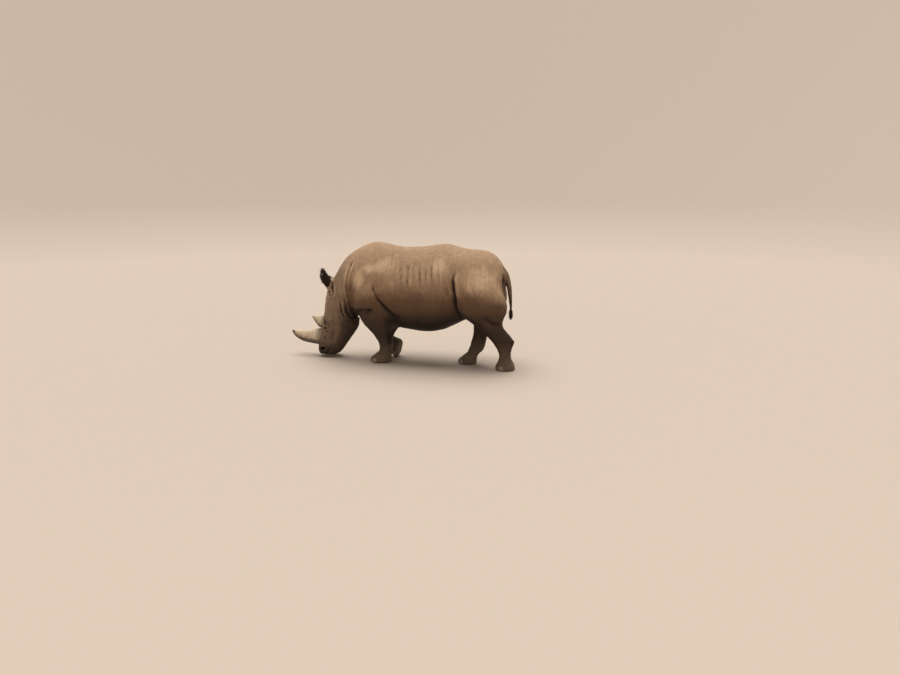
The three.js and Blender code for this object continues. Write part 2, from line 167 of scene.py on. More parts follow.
class Clay:
    """A piece's mesh as arrays, which the sculpting pushes about."""

    def __init__(self, piece):
        self.piece = piece
        self.places = places_of(piece.data)

    def relaxed(self, places, passes, group=""):
        """The places after that many passes of smoothing, which follow the group's weights."""
        self.piece.data.vertices.foreach_set("co", places.ravel())
        smoother = self.piece.modifiers.new("smoother", "SMOOTH")
        smoother.factor, smoother.iterations, smoother.vertex_group = SMOOTHING, passes, group
        bpy.context.view_layer.update()
        seen = self.piece.evaluated_get(bpy.context.evaluated_depsgraph_get())
        relaxed = places_of(seen.data)
        self.piece.modifiers.remove(smoother)
        return relaxed

    def relax(self, passes):
        self.places = self.relaxed(self.places, passes)

    def fair(self, passes, give=None):
        """Takes the facets off without shrinking what they stand for."""
        group = "" if give is None else weigh(self.piece, "give", give)
        once = self.relaxed(self.places, passes, group)
        self.places = 2 * once - self.relaxed(once, passes, group)

    def push(self, ways, rise, rows=slice(None)):
        """Moves the vertices of these rows along their ways by rise, in mm."""
        self.places[rows] += ways * (rise * MM)[:, None]

    def write(self):
        self.piece.data.vertices.foreach_set("co", self.places.astype(np.float32).ravel())
        self.piece.data.update()

    def stand(self):
        """Lifts what has sunk into the floor, and writes the mesh."""
        self.places[:, 2] = np.maximum(self.places[:, 2], 0)
        self.write()

    def normals(self):
        self.write()
        flat = np.empty(len(self.places) * 3, np.float32)
        self.piece.data.vertex_normals.foreach_get("vector", flat)
        return flat.reshape(-1, 3)

    def tree(self):
        self.write()
        return tree_of(self.piece)

    def near(self, place, reach):
        """The rows of the vertices within reach of a place."""
        return np.flatnonzero(length_of(self.places - np.array(place)) < reach * MM)

    def boxed(self, places, margin):
        """The rows of the vertices in the box round these places, with a margin in metres."""
        low, high = places.min(0) - margin, places.max(0) + margin
        return np.flatnonzero(((self.places > low) & (self.places < high)).all(1))

    def within(self, node, reach):
        """1 inside a solid's box, and 0 further than reach outside it."""
        low, high = (np.array(corner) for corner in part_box(node))
        outside = np.maximum(np.maximum(low - self.places, self.places - high), 0)
        return 1 - smooth_step(length_of(outside), 0, reach * MM)

    def low(self, full, none, wave=0):
        """1 under the height full, in metres, and 0 over the height none, with a wave in its edge."""
        return 1 - smooth_step(self.places[:, 2] + wave, full, none)


def ripples(places, size, stretch=(1, 1, 1), shift=0.0):
    """Soft random waves between -1 and 1, about size long and stretched along the three axes."""
    spots = places / (size * MM * np.array(stretch)) + shift
    return np.array([noise.noise(spot) for spot in spots.tolist()], np.float32)


# ---- Lines and folds in the hide ----
def curve_through(points, spacing=12):
    """A smooth line through the points, as even short steps."""
    points = [Vector(point) for point in points]
    padded = [2 * points[0] - points[1], *points, 2 * points[-1] - points[-2]]
    line = []
    for a, b, c, d in zip(padded, padded[1:], padded[2:], padded[3:]):
        steps = max(2, round((c - b).length / (spacing * MM)))
        for step in range(steps):
            t = step / steps
            bend = (2 * a - 5 * b + 4 * c - d) * t * t + (3 * b - a - 3 * c + d) * t * t * t
            line.append(b + ((c - a) * t + bend) / 2)
    return [*line, points[-1]]


def fold(clay, tree, normals, points, flap, width, depth, lip, lap, fade, slope=1.0):
    """A crease along a line on the hide. The hide on its flap side swells to a lip and laps over it,
    and on the other side it slopes down to the crease over slope times the width."""
    course = np.array([point[:] for point in curve_through(points)])
    wander = np.stack([ripples(course, 4 * width + 20, shift=shift) for shift in (0.3, 4.1, 8.7)], 1)
    line, line_normals, _ = nearest(tree, course + 0.45 * width * MM * wander)
    reach = (2 + 2 * max(slope, 1)) * width * MM
    close = clay.boxed(line, reach)
    steps = np.diff(line, axis=0)
    lengths = np.maximum(length_of(steps), WELD)
    away = clay.places[close][:, None] - line[:-1]
    share = np.clip((away * steps).sum(2) / lengths**2, 0, 1)
    gaps = away - share[..., None] * steps
    best = (gaps**2).sum(2).argmin(1)
    rows = np.arange(len(close))
    gap, share = gaps[rows, best], share[rows, best]
    run = steps[best] / lengths[best][:, None]
    normal = line_normals[best]
    over = np.array(flap) - (run @ np.array(flap))[:, None] * run
    over -= (over * normal).sum(1)[:, None] * normal
    over /= np.maximum(length_of(over), WELD)[:, None]
    offset = (gap * over).sum(1) / (width * MM)
    beyond = (gap * run).sum(1) / (width * MM)
    along = (best + share) / len(steps)
    strength = smooth_step(along, 0, fade[0] + WELD) * smooth_step(1 - along, 0, fade[1] + WELD)
    strength *= bell(beyond) * smooth_step((normals[close] * normal).sum(1), 0.0, 0.5)
    strength *= 1 + 0.35 * ripples(clay.places[close], 5 * width + 30, shift=6.0)
    valley = bell(np.where(offset > 0, offset / 0.65, offset / slope))
    swell = bell((offset - 1.7) / 1.1) + 0.3 * bell((offset + 2.2) / 1.2) * (slope <= 1)
    rise = strength * (lip * swell - depth * valley) * MM
    slide = strength * lap * bell((offset - 0.9) / 0.9) * MM
    clay.places[close] += normals[close] * rise[:, None] - over * slide[:, None]


def mirrored(points, side):
    return [at(ahead, left * side, up) for ahead, left, up in points]


# Each fold: its line on the left side, the way its flap lies, its width, depth, lip and lap in mm,
# the share of its length over which each end fades, and how gently its other side slopes, if not 1.
FOLDS = {
    "neck": ([(366, 222, 1430), (374, 247, 1378), (406, 276, 1260), (430, 290, 1146), (446, 282, 991),
        (424, 255, 847), (400, 208, 745), (402, 110, 662), (405, 14, 620)],
        BEHIND, 18, 48, 9, 7, (0.14, 0.05), 1.2),
    "throat": ([(512, 250, 960), (502, 236, 869), (491, 200, 760), (484, 159, 672), (448, 112, 596),
        (430, 20, 585)], BEHIND, 17, 24, 9, 7, (0.35, 0.1)),
    "jaw": ([(590, 222, 900), (575, 212, 800), (552, 178, 660), (505, 120, 566)],
        BEHIND, 14, 9, 4, 2, (0.4, 0.3)),
    "nape_front": ([(612, 238, 1120), (622, 238, 1000), (600, 224, 860)], BEHIND, 18, 6, 4, 2, (0.4, 0.4)),
    "nape_rear": ([(520, 270, 1240), (535, 268, 1100), (528, 258, 980)], BEHIND, 19, 8, 4, 2, (0.4, 0.4)),
    "shoulder_plate": ([(352, 215, 740), (320, 300, 738), (250, 375, 747), (186, 409, 766), (79, 422, 776),
        (0, 424, 800)], ABOVE, 24, 66, 9, 24, (0.05, 0.25), 2.6),
    "elbow_top": ([(30, 424, 1150), (-10, 420, 1060), (-50, 416, 960), (-110, 408, 880)],
        BEHIND, 17, 13, 4, 3, (0.45, 0.3), 1.2),
    "elbow": ([(-40, 416, 985), (-80, 412, 905), (-147, 403, 835), (-239, 384, 744), (-338, 345, 650)],
        BEHIND, 25, 34, 5, 6, (0.45, 0.2), 1.7),
    "armpit": ([(-40, 384, 740), (-100, 372, 680), (-180, 345, 610), (-240, 325, 550)],
        BEHIND, 28, 12, 4, 2, (0.5, 0.4), 1.2),
    "flank": ([(-1136, 350, 1420), (-1130, 390, 1290), (-1125, 421, 1164), (-1142, 407, 1004),
        (-1160, 372, 900), (-1176, 330, 826), (-1198, 240, 740), (-1215, 150, 672)],
        BEHIND, 28, 50, 10, 12, (0.4, 0.12), 2.0),
    "flank_front": ([(-1020, 405, 1160), (-1035, 416, 1060), (-1070, 405, 930)],
        BEHIND, 30, 8, 4, 2, (0.5, 0.4)),
    "thigh": ([(-1480, 398, 790), (-1571, 390, 705), (-1612, 372, 668), (-1657, 347, 640), (-1702, 306, 632),
        (-1752, 246, 650)], ABOVE, 26, 19, 6, 5, (0.5, 0.3), 1.5),
    "thigh_low": ([(-1240, 330, 720), (-1330, 345, 640), (-1430, 350, 600), (-1530, 340, 600)],
        ABOVE, 30, 12, 6, 3, (0.4, 0.45), 1.5),
    "hock": ([(-1900, 205, 460), (-1888, 222, 400), (-1872, 232, 330)], BEHIND, 17, 15, 5, 0, (0.4, 0.45)),
    "rump": ([(-1560, 150, 1420), (-1610, 210, 1330), (-1650, 235, 1200)], BEHIND, 34, 7, 4, 1, (0.45, 0.45)),
    "tail_side": ([(-1690, 78, 1350), (-1725, 76, 1250), (-1735, 74, 1120), (-1735, 70, 1000)],
        BEHIND, 30, 15, 4, 2, (0.4, 0.55), 1.5),
    # The face hangs upright: its brow is ahead of the eye, and its cheek behind it.
    "brow": ([(842, 166, 602), (874, 150, 585), (889, 142, 540), (882, 142, 496)],
        AHEAD, 11, 8, 6, 4, (0.35, 0.35)),
    "eye_bag": ([(832, 170, 590), (806, 174, 572), (795, 172, 530), (806, 164, 488), (834, 150, 466)],
        BEHIND, 10, 7, 3, 2, (0.35, 0.3)),
    "eye_bag_outer": ([(800, 180, 606), (772, 182, 560), (768, 178, 510), (786, 168, 460), (820, 150, 432)],
        BEHIND, 13, 4, 3, 1, (0.4, 0.3)),
    "eye_front": ([(888, 138, 470), (862, 142, 444), (828, 148, 432), (790, 154, 440)],
        ABOVE, 12, 7, 3, 2, (0.4, 0.4), 1.5),
    "eye_front_low": ([(882, 134, 408), (850, 138, 384), (812, 144, 374), (776, 152, 384)],
        ABOVE, 11, 5, 2, 2, (0.45, 0.45), 1.4),
    "tear": ([(868, 140, 360), (872, 136, 320), (864, 134, 270), (850, 136, 210)],
        BEHIND, 19, 5, 3, 0, (0.45, 0.5)),
    "cheek_groove": ([(775, 146, 180), (752, 156, 250), (734, 168, 330), (728, 178, 420), (740, 184, 500)],
        BEHIND, 34, 7, 4, 0, (0.45, 0.5)),
    "cheek_fold": ([(712, 196, 700), (676, 200, 600), (664, 196, 480), (676, 186, 360)],
        BEHIND, 34, 5, 3, 0, (0.5, 0.5)),
    "ear_back": ([(700, 118, 1050), (676, 146, 1000), (684, 166, 940), (716, 172, 890)],
        BEHIND, 17, 11, 6, 4, (0.35, 0.4)),
    "ear_front": ([(790, 150, 960), (770, 168, 920), (738, 176, 880)], BELOW, 15, 7, 5, 2, (0.35, 0.4)),
    "snout_side": ([(938, 90, 190), (915, 118, 196), (880, 132, 190), (846, 138, 196)],
        BELOW, 13, 7, 4, 2, (0.4, 0.4)),
    "lip_upper": ([(930, 100, 74), (905, 130, 74), (870, 142, 84), (848, 146, 110)],
        BELOW, 10, 6, 4, 1, (0.4, 0.4)),
    "lip_corner": ([(770, 136, 120), (762, 140, 165), (752, 142, 215)], BEHIND, 11, 7, 4, 2, (0.4, 0.4)),
}
# Shallow creases that run across the forehead from side to side: ahead, up, depth, and the height
# of their left end over their middle.
FOREHEAD_CREASES = [(842, 652, 3.5, 14), (826, 716, 2, -22), (812, 782, 3.5, 10), (788, 892, 3, -16)]
# The mouth's two lines meet under the lips.
MOUTH = [(838, 6, 44), (838, 90, 46), (836, 132, 62), (824, 146, 96), (806, 147, 140), (784, 142, 190)]
NOSTRIL_RIM = [(952, 108, 150), (940, 130, 118), (908, 142, 98), (874, 142, 112), (858, 140, 146)]
# Each rib's groove: the `ahead` of its top and its low end, the heights of both, and its depth.
RIBS = [
    (-365, -432, 1520, 1000, 5), (-464, -530, 1550, 950, 8), (-545, -605, 1530, 1000, 6),
    (-636, -692, 1550, 960, 8), (-716, -768, 1530, 1020, 6), (-800, -845, 1550, 1050, 8),
    (-888, -934, 1550, 1080, 8), (-968, -1005, 1520, 1150, 5),
]

# Muscles and bones that lift the hide, and hollows that sink it: place, radii and rise in mm.
SWELLS = {
    "shoulder_blade": ((150, 370, 1250), (120, 130, 230), 9),
    "behind_the_shoulder": ((-130, 400, 1250), (90, 130, 220), -9),
    "shoulder_point": ((300, 320, 880), (90, 110, 110), 10),
    "upper_arm": ((60, 420, 900), (150, 100, 110), 12),
    "under_the_plate": ((225, 395, 650), (150, 100, 85), -44),
    "hip_bone": ((-1190, 350, 1500), (90, 90, 80), 12),
    "before_the_hip": ((-1050, 380, 1390), (80, 110, 130), -12),
    "belly_before_the_flank": ((-1065, 420, 1000), (85, 120, 230), -20),
    "thigh_front": ((-1245, 400, 1010), (90, 110, 220), 14),
    "stifle": ((-1290, 350, 770), (100, 110, 110), 10),
    "buttock": ((-1640, 300, 900), (110, 130, 170), 9),
    "beside_the_tail": ((-1690, 130, 1180), (90, 70, 180), -12),
    "armpit_hollow": ((-270, 330, 600), (70, 110, 90), -30),
    "wrist": ((-50, 250, 395), (90, 60, 60), 6),
    "heel": ((-1900, 200, 470), (50, 60, 50), 8),
    "masseter": ((620, 180, 470), (115, 90, 150), 12),
    "jaw_angle": ((520, 140, 600), (60, 90, 70), 6),
    "cheek_bone": ((752, 185, 560), (70, 60, 60), 7),
    "brow": ((872, 158, 560), (36, 46, 50), 11),
    "eye_hollow": ((806, 168, 470), (46, 50, 50), -7),
    "temple_hollow": ((770, 200, 730), (60, 60, 90), -8),
    "temple_ridge": ((842, 160, 740), (30, 50, 110), 5),
    "nose_side": ((852, 138, 300), (60, 50, 80), -7),
    "lip_pad": ((900, 142, 70), (60, 40, 30), 9),
    "lip_front": ((930, 90, 70), (40, 70, 26), 13),
    "chin": ((735, 100, 90), (40, 60, 40), 10),
    "tail_root": ((-1745, 0, 1290), (45, 45, 120), 8),
    "tail_middle": ((-1800, 0, 1060), (70, 60, 180), 5),
}

# Rings pressed into the limbs: a place on the limb's middle, the way along it, and in mm how far
# from that place they reach, how wide they are and how deep.
RINGS = [
    ((-62, 154, 160), (0.1, 0.1, 1), 170, 12, 5),
    ((-66, 156, 205), (-0.1, -0.08, 1), 160, 10, 3),
    ((-82, 176, 290), (0.05, 0.2, 1), 160, 16, 3),
    ((-80, 196, 390), (-0.1, 0.1, 1), 190, 18, 3),
    ((-1786, 168, 155), (0.1, 0, 1), 160, 12, 4),
    ((-1784, 172, 200), (-0.1, 0.12, 1), 150, 10, 3),
    ((-1768, 178, 262), (0, 0.25, 1), 150, 14, 3),
    ((-1262, -70, 160), (0.1, 0.1, 1), 160, 12, 4),
    ((-1282, -74, 205), (-0.1, 0, 1), 150, 11, 3),
    ((-1318, -90, 275), (0.1, -0.1, 1), 150, 15, 3),
    ((76, -200, 345), (0.1, 0, 1), 150, 14, 4),
    ((40, -194, 262), (0, -0.7, 0.7), 140, 13, 4),
]


def press_rings(clay, normals):
    wobble = ripples(clay.places, 110, shift=3.0) * 24 * MM
    patchy = 0.6 + 0.9 * ripples(clay.places, 75, shift=11.0)
    for place, way, reach, width, depth in RINGS:
        away = clay.places - np.array(at(*place))
        height = (away @ np.array(Vector(way).normalized()) + wobble) / (width * MM)
        far = length_of(away) / (reach * MM)
        groove = bell(height) - 0.5 * bell(height - 2)
        clay.push(normals, -groove * (1 - smooth_step(far, 0.75, 1)) * np.clip(patchy, 0, 1.3) * depth)


def lift_muscles(clay, normals):
    for (ahead, left, up), (along, across, high), rise in SWELLS.values():
        for side in SIDES.values():
            away = clay.places - np.array(at(ahead, left * side, up))
            away /= np.array([across, along, high]) * MM
            facing = smooth_step(normals[:, 0] * side, -0.2, 0.3)
            clay.push(normals, bell(length_of(away)) * facing * rise)


def crease_hide(clay):
    tree, normals = clay.tree(), clay.normals()
    for points, *shape in FOLDS.values():
        for side in SIDES.values():
            fold(clay, tree, normals, mirrored(points, side), *shape)
    for top_ahead, low_ahead, top, low, depth in RIBS:
        middle = ((top_ahead + low_ahead) / 2, 420, (top + low) / 2)
        line = [(top_ahead, 300, top), middle, (low_ahead, 458, low)]
        for side in SIDES.values():
            fold(clay, tree, normals, mirrored(line, side), BEHIND, 27, depth, 0.7 * depth, 0, (0.45, 0.5))
    for ahead, up, depth, tilt in FOREHEAD_CREASES:
        line = [at(ahead - 20 * share**2, 130 * share, up + tilt * share) for share in (1, 0.5, 0, -0.5, -1)]
        fold(clay, tree, normals, line, BELOW, 22, depth, depth * 0.6, 1, (0.45, 0.45))
    press_rings(clay, normals)


def winding(places, size, stretch, shift):
    """1 along thin winding lines that run all over, and 0 between them."""
    warp = ripples(places, 2.2 * size, shift=shift + 20)[:, None] * 0.35 * size * MM
    return np.clip(1 - np.abs(ripples(places + warp, size, stretch, shift)) * 4.5, 0, 1) ** 1.5


def wrinkle_hide(clay):
    """Winding grooves all over: upright on neck and barrel, level on the legs, fine on the head."""
    normals = clay.normals()
    head = clay.within("head", 60)
    legs = clay.low(0.35, 0.75) * (1 - head)
    tail = clay.within("tail", 15) * (1 - smooth_step(np.abs(clay.places[:, 0]), 0.05, 0.09))
    neck = clay.within("neck", 60) * (1 - head)
    body = (1 - head) * (1 - legs) * (1 - tail)
    patchy = np.clip(0.55 + 1.1 * ripples(clay.places, 420, shift=15.0), 0, 1.3)
    # Where each net of grooves runs and how deep, in mm, its size, its stretch and its random shift.
    nets = [
        (body * patchy * 3.4, 120, (1, 1, 2.8), 5.0),
        (neck * 3.6, 70, (1, 1, 3.4), 12.0),
        (legs * patchy * 3.2, 85, (1.8, 1.8, 0.7), 9.0),
        (head * 1.8, 60, (1, 1, 2.0), 2.0),
        (head * 0.9, 30, (1, 1, 0.8), 17.0),
        (body, 55, (1, 1, 1.3), 2.0),
        (tail * 3.5, 42, (4, 4, 0.8), 3.0),
    ]
    depth = sum(deep * winding(clay.places, *net) for deep, *net in nets)
    lumps = ripples(clay.places, 210, (1, 1, 1.6), 7.0) * 5 + ripples(clay.places, 90, (1, 1, 1.4), 8.0) * 2
    rise = lumps * (body + 0.7 * legs + 0.4 * head) - depth
    still = np.maximum(clay.within("ear_left", 10), clay.within("ear_right", 10))
    clay.push(normals, rise * (1 - 0.8 * still))


# ---- The face ----
def pit(clay, normals, centre, long_way, radii, depth, rim):
    """An oval hole that runs into the flesh, with a swollen rim."""
    close = clay.near(centre, 3.2 * max(radii))
    away, normals = clay.places[close] - np.array(centre), normals[close]
    inward = -normals[length_of(away).argmin()]
    long_way = np.array(long_way) - inward * np.dot(long_way, inward)
    long_way /= np.linalg.norm(long_way)
    u = away @ long_way / (radii[0] * MM)
    v = away @ np.cross(inward, long_way) / (radii[1] * MM)
    out = np.sqrt(u * u + v * v)
    same_side = smooth_step(-(normals @ inward), 0.0, 0.4)
    sink = depth * (1 - smooth_step(out, 0.35, 1.1)) * same_side
    swell = rim * bell((out - 1.45) / 0.4) * same_side
    clay.places[close] += inward * (sink * MM)[:, None] + normals * (swell * MM)[:, None]


def shape_muzzle(clay):
    tree, normals = clay.tree(), clay.normals()
    for side in SIDES.values():
        fold(clay, tree, normals, mirrored(MOUTH, side), AHEAD, 9, 15, 5, 3, (0.0, 0.25))
        fold(clay, tree, normals, mirrored(NOSTRIL_RIM, side), ABOVE, 9, 5, 5, 2, (0.25, 0.3))
        slit = Vector((0, 0.85, 0.5))
        pit(clay, normals, at(908, 138 * side, 126), slit, (36, 19), 44, 8)
        pit(clay, normals, at(880, 140 * side, 150), Vector((0, 0.4, 0.9)), (18, 9), 12, 2)


# How wide and how high the hide swells round each kind of piece, and how far off it may lie, in mm.
COLLARS = {"horn": (12, 7), "nail": (9, 4)}
COLLAR_REACH = 60


def raise_collars(clay, pieces):
    """The hide swells to a rough collar where a horn or a nail grows out of it."""
    normals = clay.normals()
    for piece in pieces:
        width, rise = COLLARS[piece.name.split("_")[0]]
        close = clay.boxed(np.array([corner[:] for corner in piece.bound_box]), COLLAR_REACH * MM)
        _, _, far = nearest(tree_of(piece), clay.places[close])
        rough = 1 + 0.35 * ripples(clay.places[close], 14)
        clay.push(normals[close], rise * rough * bell(far / (width * MM)), close)


# ---- The ears ----
EAR_LENGTH = 280
EAR_REACH, EAR_SKIN = 110, 12  # mm, how far the hide of an ear lies from its axis and from its solid
EAR_WIDTHS = ((0.3, 0.5, 0.7, 0.88, 1.0), (58, 77, 76, 46, 9))  # half its width along its length
# Each ear's root, and in degrees how it leans ahead, spreads outwards and turns its bowl.
EARS = {"left": (at(748, 128, 985), 14, 17, 74), "right": (at(762, -128, 960), 56, 34, 48)}


def ear_frame(side_name):
    """From an ear's own axes, with its bowl open ahead and its tip above, to its place."""
    root, lean, spread, turn = EARS[side_name]
    side = SIDES[side_name]
    frame_turn = Matrix.Rotation(math.radians(lean), 4, "X")
    frame_turn @= Matrix.Rotation(math.radians(spread * side), 4, "Y")
    frame_turn @= Matrix.Rotation(math.radians(turn * side), 4, "Z")
    return Matrix.Translation(root) @ frame_turn


def ear_insides(clay):
    """1 on the inside of the ears' bowls, which faces the bowl's middle line."""
    inside = np.zeros(len(clay.places))
    normals = clay.normals()
    for side_name in SIDES:
        frame_turn = np.array(ear_frame(side_name))
        local = (clay.places - frame_turn[:3, 3]) @ frame_turn[:3, :3] / MM
        share = local[:, 2] / EAR_LENGTH
        to_middle = np.stack([-local[:, 0], -38 - local[:, 1]], 1)
        facing = (normals @ frame_turn[:3, :2] * to_middle).sum(1)
        facing /= np.maximum(length_of(to_middle), 1)
        bowl = smooth_step(facing, -0.05, 0.45) * smooth_step(share, 0.2, 0.36)
        to_rim = np.abs(local[:, 0]) / np.interp(share, *EAR_WIDTHS)
        rim = smooth_step(to_rim, 0.75, 0.95) * smooth_step(share, 0.4, 0.6)
        tip = smooth_step(share, 0.86, 0.98)
        dark = np.maximum.reduce([bowl, 0.9 * rim, 0.9 * tip])
        close = np.flatnonzero(length_of(local[:, :2]) < EAR_REACH)
        _, _, far = nearest(tree_of(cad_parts[f"ear_{side_name}"]), clay.places[close])
        inside[close] = np.maximum(inside[close], dark[close] * (far < EAR_SKIN * MM))
    return inside


# ---- The one skin ----
def softness(clay):
    """How freely each place is smoothed: ears, tail, soles and lips keep their edges."""
    ears = np.maximum(clay.within("ear_left", 12), clay.within("ear_right", 12))
    tail_low = clay.within("tail", 10) * clay.low(1.1, 1.3)
    soles = clay.low(0.015, 0.09)
    lips = clay.within("head", 5) * clay.low(0.06, 0.2)
    return 1 - np.maximum.reduce([0.93 * ears, 0.85 * tail_low, 0.88 * soles, 0.9 * lips])


def thin(piece, triangles, keep):
    """Takes triangles out where the surface is plain, and fewer where keep is near 1."""
    group = weigh(piece, "plain", 1 - keep)
    count = sum(len(face.vertices) - 2 for face in piece.data.polygons)
    thinner = piece.modifiers.new("thinner", "DECIMATE")
    thinner.ratio = min(1, triangles / count)
    thinner.vertex_group = group
    thinner.vertex_group_factor = 1.0
    settle(piece)
    piece.vertex_groups.clear()


def hollows(clay, passes):
    """How far each place lies under the smoothed surface round it, in mm: creases are positive."""
    mean = clay.relaxed(clay.places, passes)
    return ((mean - clay.places) * clay.normals()).sum(1) / MM


def stains_and_shade(clay):
    """1 where damp earth darkens the hide: limbs, belly, muzzle and lips. It also carries painted shade: the
    low body, every surface facing down, a band under the shoulder plate and the rear of the jaw. 0 where it
    is dry and dusty.
    """
    normals = clay.normals()
    cloud = 0.1 * ripples(clay.places, 260, shift=30.0) + 0.05 * ripples(clay.places, 70, shift=31.0)
    ahead = MIDDLE_AHEAD - clay.places[:, 1] / MM
    head = clay.within("head", 60)
    tail = clay.within("tail", 10) * (np.abs(clay.places[:, 0]) < 0.06)
    # Painted shade on every surface that faces down, above the knees.
    under = (1 - smooth_step(normals[:, 2] + 2 * cloud, -0.75, -0.1)) * (clay.places[:, 2] > 0.4)
    # Painted shadow under the lap of the shoulder plate.
    shade_below_plate = smooth_step(ahead, -40, 120) * (1 - smooth_step(ahead, 400, 440)) * clay.low(0.745, 0.79)
    # The low body darkens both as damp earth and as painted shade.
    body = np.maximum.reduce([clay.low(0.5, 1.02, cloud), 0.75 * tail, under, 0.95 * shade_below_plate])
    # Painted shade on the head's low parts that face back: the rear of the jaw and the throat.
    jaw = smooth_step(normals[:, 1] + cloud, -0.1, 0.42) * clay.low(0.7, 1.0)
    face = np.maximum(clay.low(0.13, 0.34, 0.6 * cloud), 0.95 * jaw)
    return np.clip(head * face + (1 - head) * body, 0, 1)


def store(piece, name, values):
    layer = piece.data.attributes.new(name, "FLOAT", "POINT")
    layer.data.foreach_set("value", np.ascontiguousarray(values, np.float32))


# The skin's passes of smoothing before it is sculpted, and for each map of its hollows the passes
# that make the surface they lie under, and the depth in mm that counts as 1.
FAIRING = {"all_over": 140, "torso": 260}
HOLLOWS = {"hollow": (20, 5), "valley": (260, 16)}


def make_skin(horns, nails):
    skin = evened("skin", FLESH, SKIN_SQUARE, grow=1.2)
    clay = Clay(skin)
    give = softness(clay)
    clay.fair(FAIRING["all_over"], give)
    torso = smooth_step(clay.places[:, 2], 0.62, 0.85) * (1 - clay.within("head", 120))
    clay.fair(FAIRING["torso"], give * torso * (1 - clay.within("tail", 40)))
    lift_muscles(clay, clay.normals())
    crease_hide(clay)
    shape_muzzle(clay)
    wrinkle_hide(clay)
    raise_collars(clay, [*horns, *nails])
    clay.relax(1)
    clay.stand()
    for name, (passes, full) in HOLLOWS.items():
        store(skin, name, np.clip(hollows(clay, passes) / full, -1, 1))
    store(skin, "ear_inside", ear_insides(clay))
    store(skin, "stain", stains_and_shade(clay))
    ears = [clay.within(f"ear_{side_name}", 10) for side_name in SIDES]
    thin(skin, SKIN_TRIANGLES, np.maximum.reduce([clay.within("head", 20), *ears, 0.5 * clay.low(0.1, 0.2)]))
    return skin


# ---- Eyes and lids ----
EYE_RADIUS = 20
CORNEA_HALF, CORNEA_RISE = 11, 1.6  # mm, half the width of the bulge over the iris, and its height
LID_THICK = 2.4
EYE_SLIT = {"half": 20, "upper": 9.5, "lower": 8.5}  # half its length, and how far each lid is open
LID_REACH, LID_DEEP = 75, -12  # mm, how far the lids' sculpting goes along the face and into it
LID_BLEND = 4  # mm, how softly the lids run out into the face
# The rings of small folds round the slit: their rise, their distance from it and their width in mm.
LID_RINGS = [(-2.2, 7.5, 1.7), (1.0, 11, 2.6), (-1.8, 15.5, 1.8), (0.8, 19.5, 2.8), (-1.2, 25, 2.2)]


def eye_frame(side_name):
    """An eye's centre, the way it looks, the way its slit runs, and the way towards the brow."""
    low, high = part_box(f"eye_{side_name}")
    side = SIDES[side_name]
    outward = (Vector((side, 0, 0)) + 0.22 * AHEAD + 0.06 * ABOVE).normalized()
    slit = Vector((0, -0.3, -0.95))
    slit = (slit - outward * slit.dot(outward)).normalized()
    brow = (AHEAD - outward * AHEAD.dot(outward) - slit * AHEAD.dot(slit)).normalized()
    return (low + high) / 2, outward, slit, brow


def refine(piece, centre, reach):
    """Halves the edges within reach of a place."""
    shape = bmesh.new()
    shape.from_mesh(piece.data)
    edges = [
        edge for edge in shape.edges
        if all((vertex.co - centre).length < reach * MM for vertex in edge.verts)
    ]
    bmesh.ops.subdivide_edges(shape, edges=edges, cuts=1, use_grid_fill=True, smooth=0.2)
    bmesh.ops.triangulate(shape, faces=[face for face in shape.faces if len(face.verts) > 4])
    shape.to_mesh(piece.data)
    shape.free()


def shape_lids(skin, side_name):
    centre, outward, slit, brow = (np.array(vector) for vector in eye_frame(side_name))
    for reach in (52, 44):
        refine(skin, Vector(centre), reach)
    clay = Clay(skin)
    near = clay.near(centre, LID_REACH)
    away = (clay.places[near] - centre) / MM
    u, v, w = away @ slit, away @ brow, away @ outward
    seen = w > LID_DEEP
    near, u, v, w = near[seen], u[seen], v[seen], w[seen]
    half = EYE_SLIT["half"]
    gape = np.where(v > 0, EYE_SLIT["upper"], EYE_SLIT["lower"]) * np.clip(1 - (u / half) ** 2, 0, 1) ** 0.8
    edge = np.abs(v) - gape
    beyond = np.maximum(np.abs(u) - half, 0)
    edge = np.sqrt(np.maximum(edge, 0) ** 2 + beyond**2) - np.maximum(-edge, 0) * (beyond == 0)
    snapped = (np.abs(edge) < 0.8) & (beyond == 0)
    v = np.where(snapped, np.sign(v) * gape, v)
    edge = np.where(snapped, 0, edge)
    lid = EYE_RADIUS + LID_THICK
    out = u * u + v * v
    over = (np.sqrt(np.maximum(lid * lid - out, 0)) - w) / LID_BLEND
    w = w + LID_BLEND * np.log1p(np.exp(np.clip(over, -30, 30))) * (out < (lid * 1.15) ** 2)
    band = edge + ripples(clay.places[near], 18) * 1.6
    w += 1.1 * bell((edge - 2.2) / 1.8)
    for rise, distance, width in LID_RINGS:
        w += rise * bell((band - distance) / width)
    inside = EYE_RADIUS - 4
    w = np.where(edge < 0, np.sqrt(np.maximum(inside * inside - out, 0)), w)
    clay.places[near] = centre + MM * (u[:, None] * slit + v[:, None] * brow + w[:, None] * outward)
    clay.write()


def make_eye(side_name, finish):
    centre, outward, _, _ = eye_frame(side_name)
    ball = bmesh.new()
    turn = outward.to_track_quat("Z", "Y").to_matrix().to_4x4()
    bmesh.ops.create_uvsphere(ball, u_segments=48, v_segments=32, radius=EYE_RADIUS * MM)
    for vertex in ball.verts:
        off_axis = math.hypot(vertex.co.x, vertex.co.y) / (CORNEA_HALF * MM)
        if vertex.co.z > 0 and off_axis < 1:
            vertex.co.z += CORNEA_RISE * MM * (1 - off_axis**2) ** 1.5
    bmesh.ops.transform(ball, matrix=Matrix.Translation(centre) @ turn, verts=ball.verts)
    eye = piece_of(f"eyeball_{side_name}", ball)
    eye.data.shade_smooth()
    eye.data.materials.append(finish)
    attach(eye, "root")
    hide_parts(f"eye_{side_name}")


# ---- Horns and nails ----
HORN_FAIRING = 26  # passes of smoothing
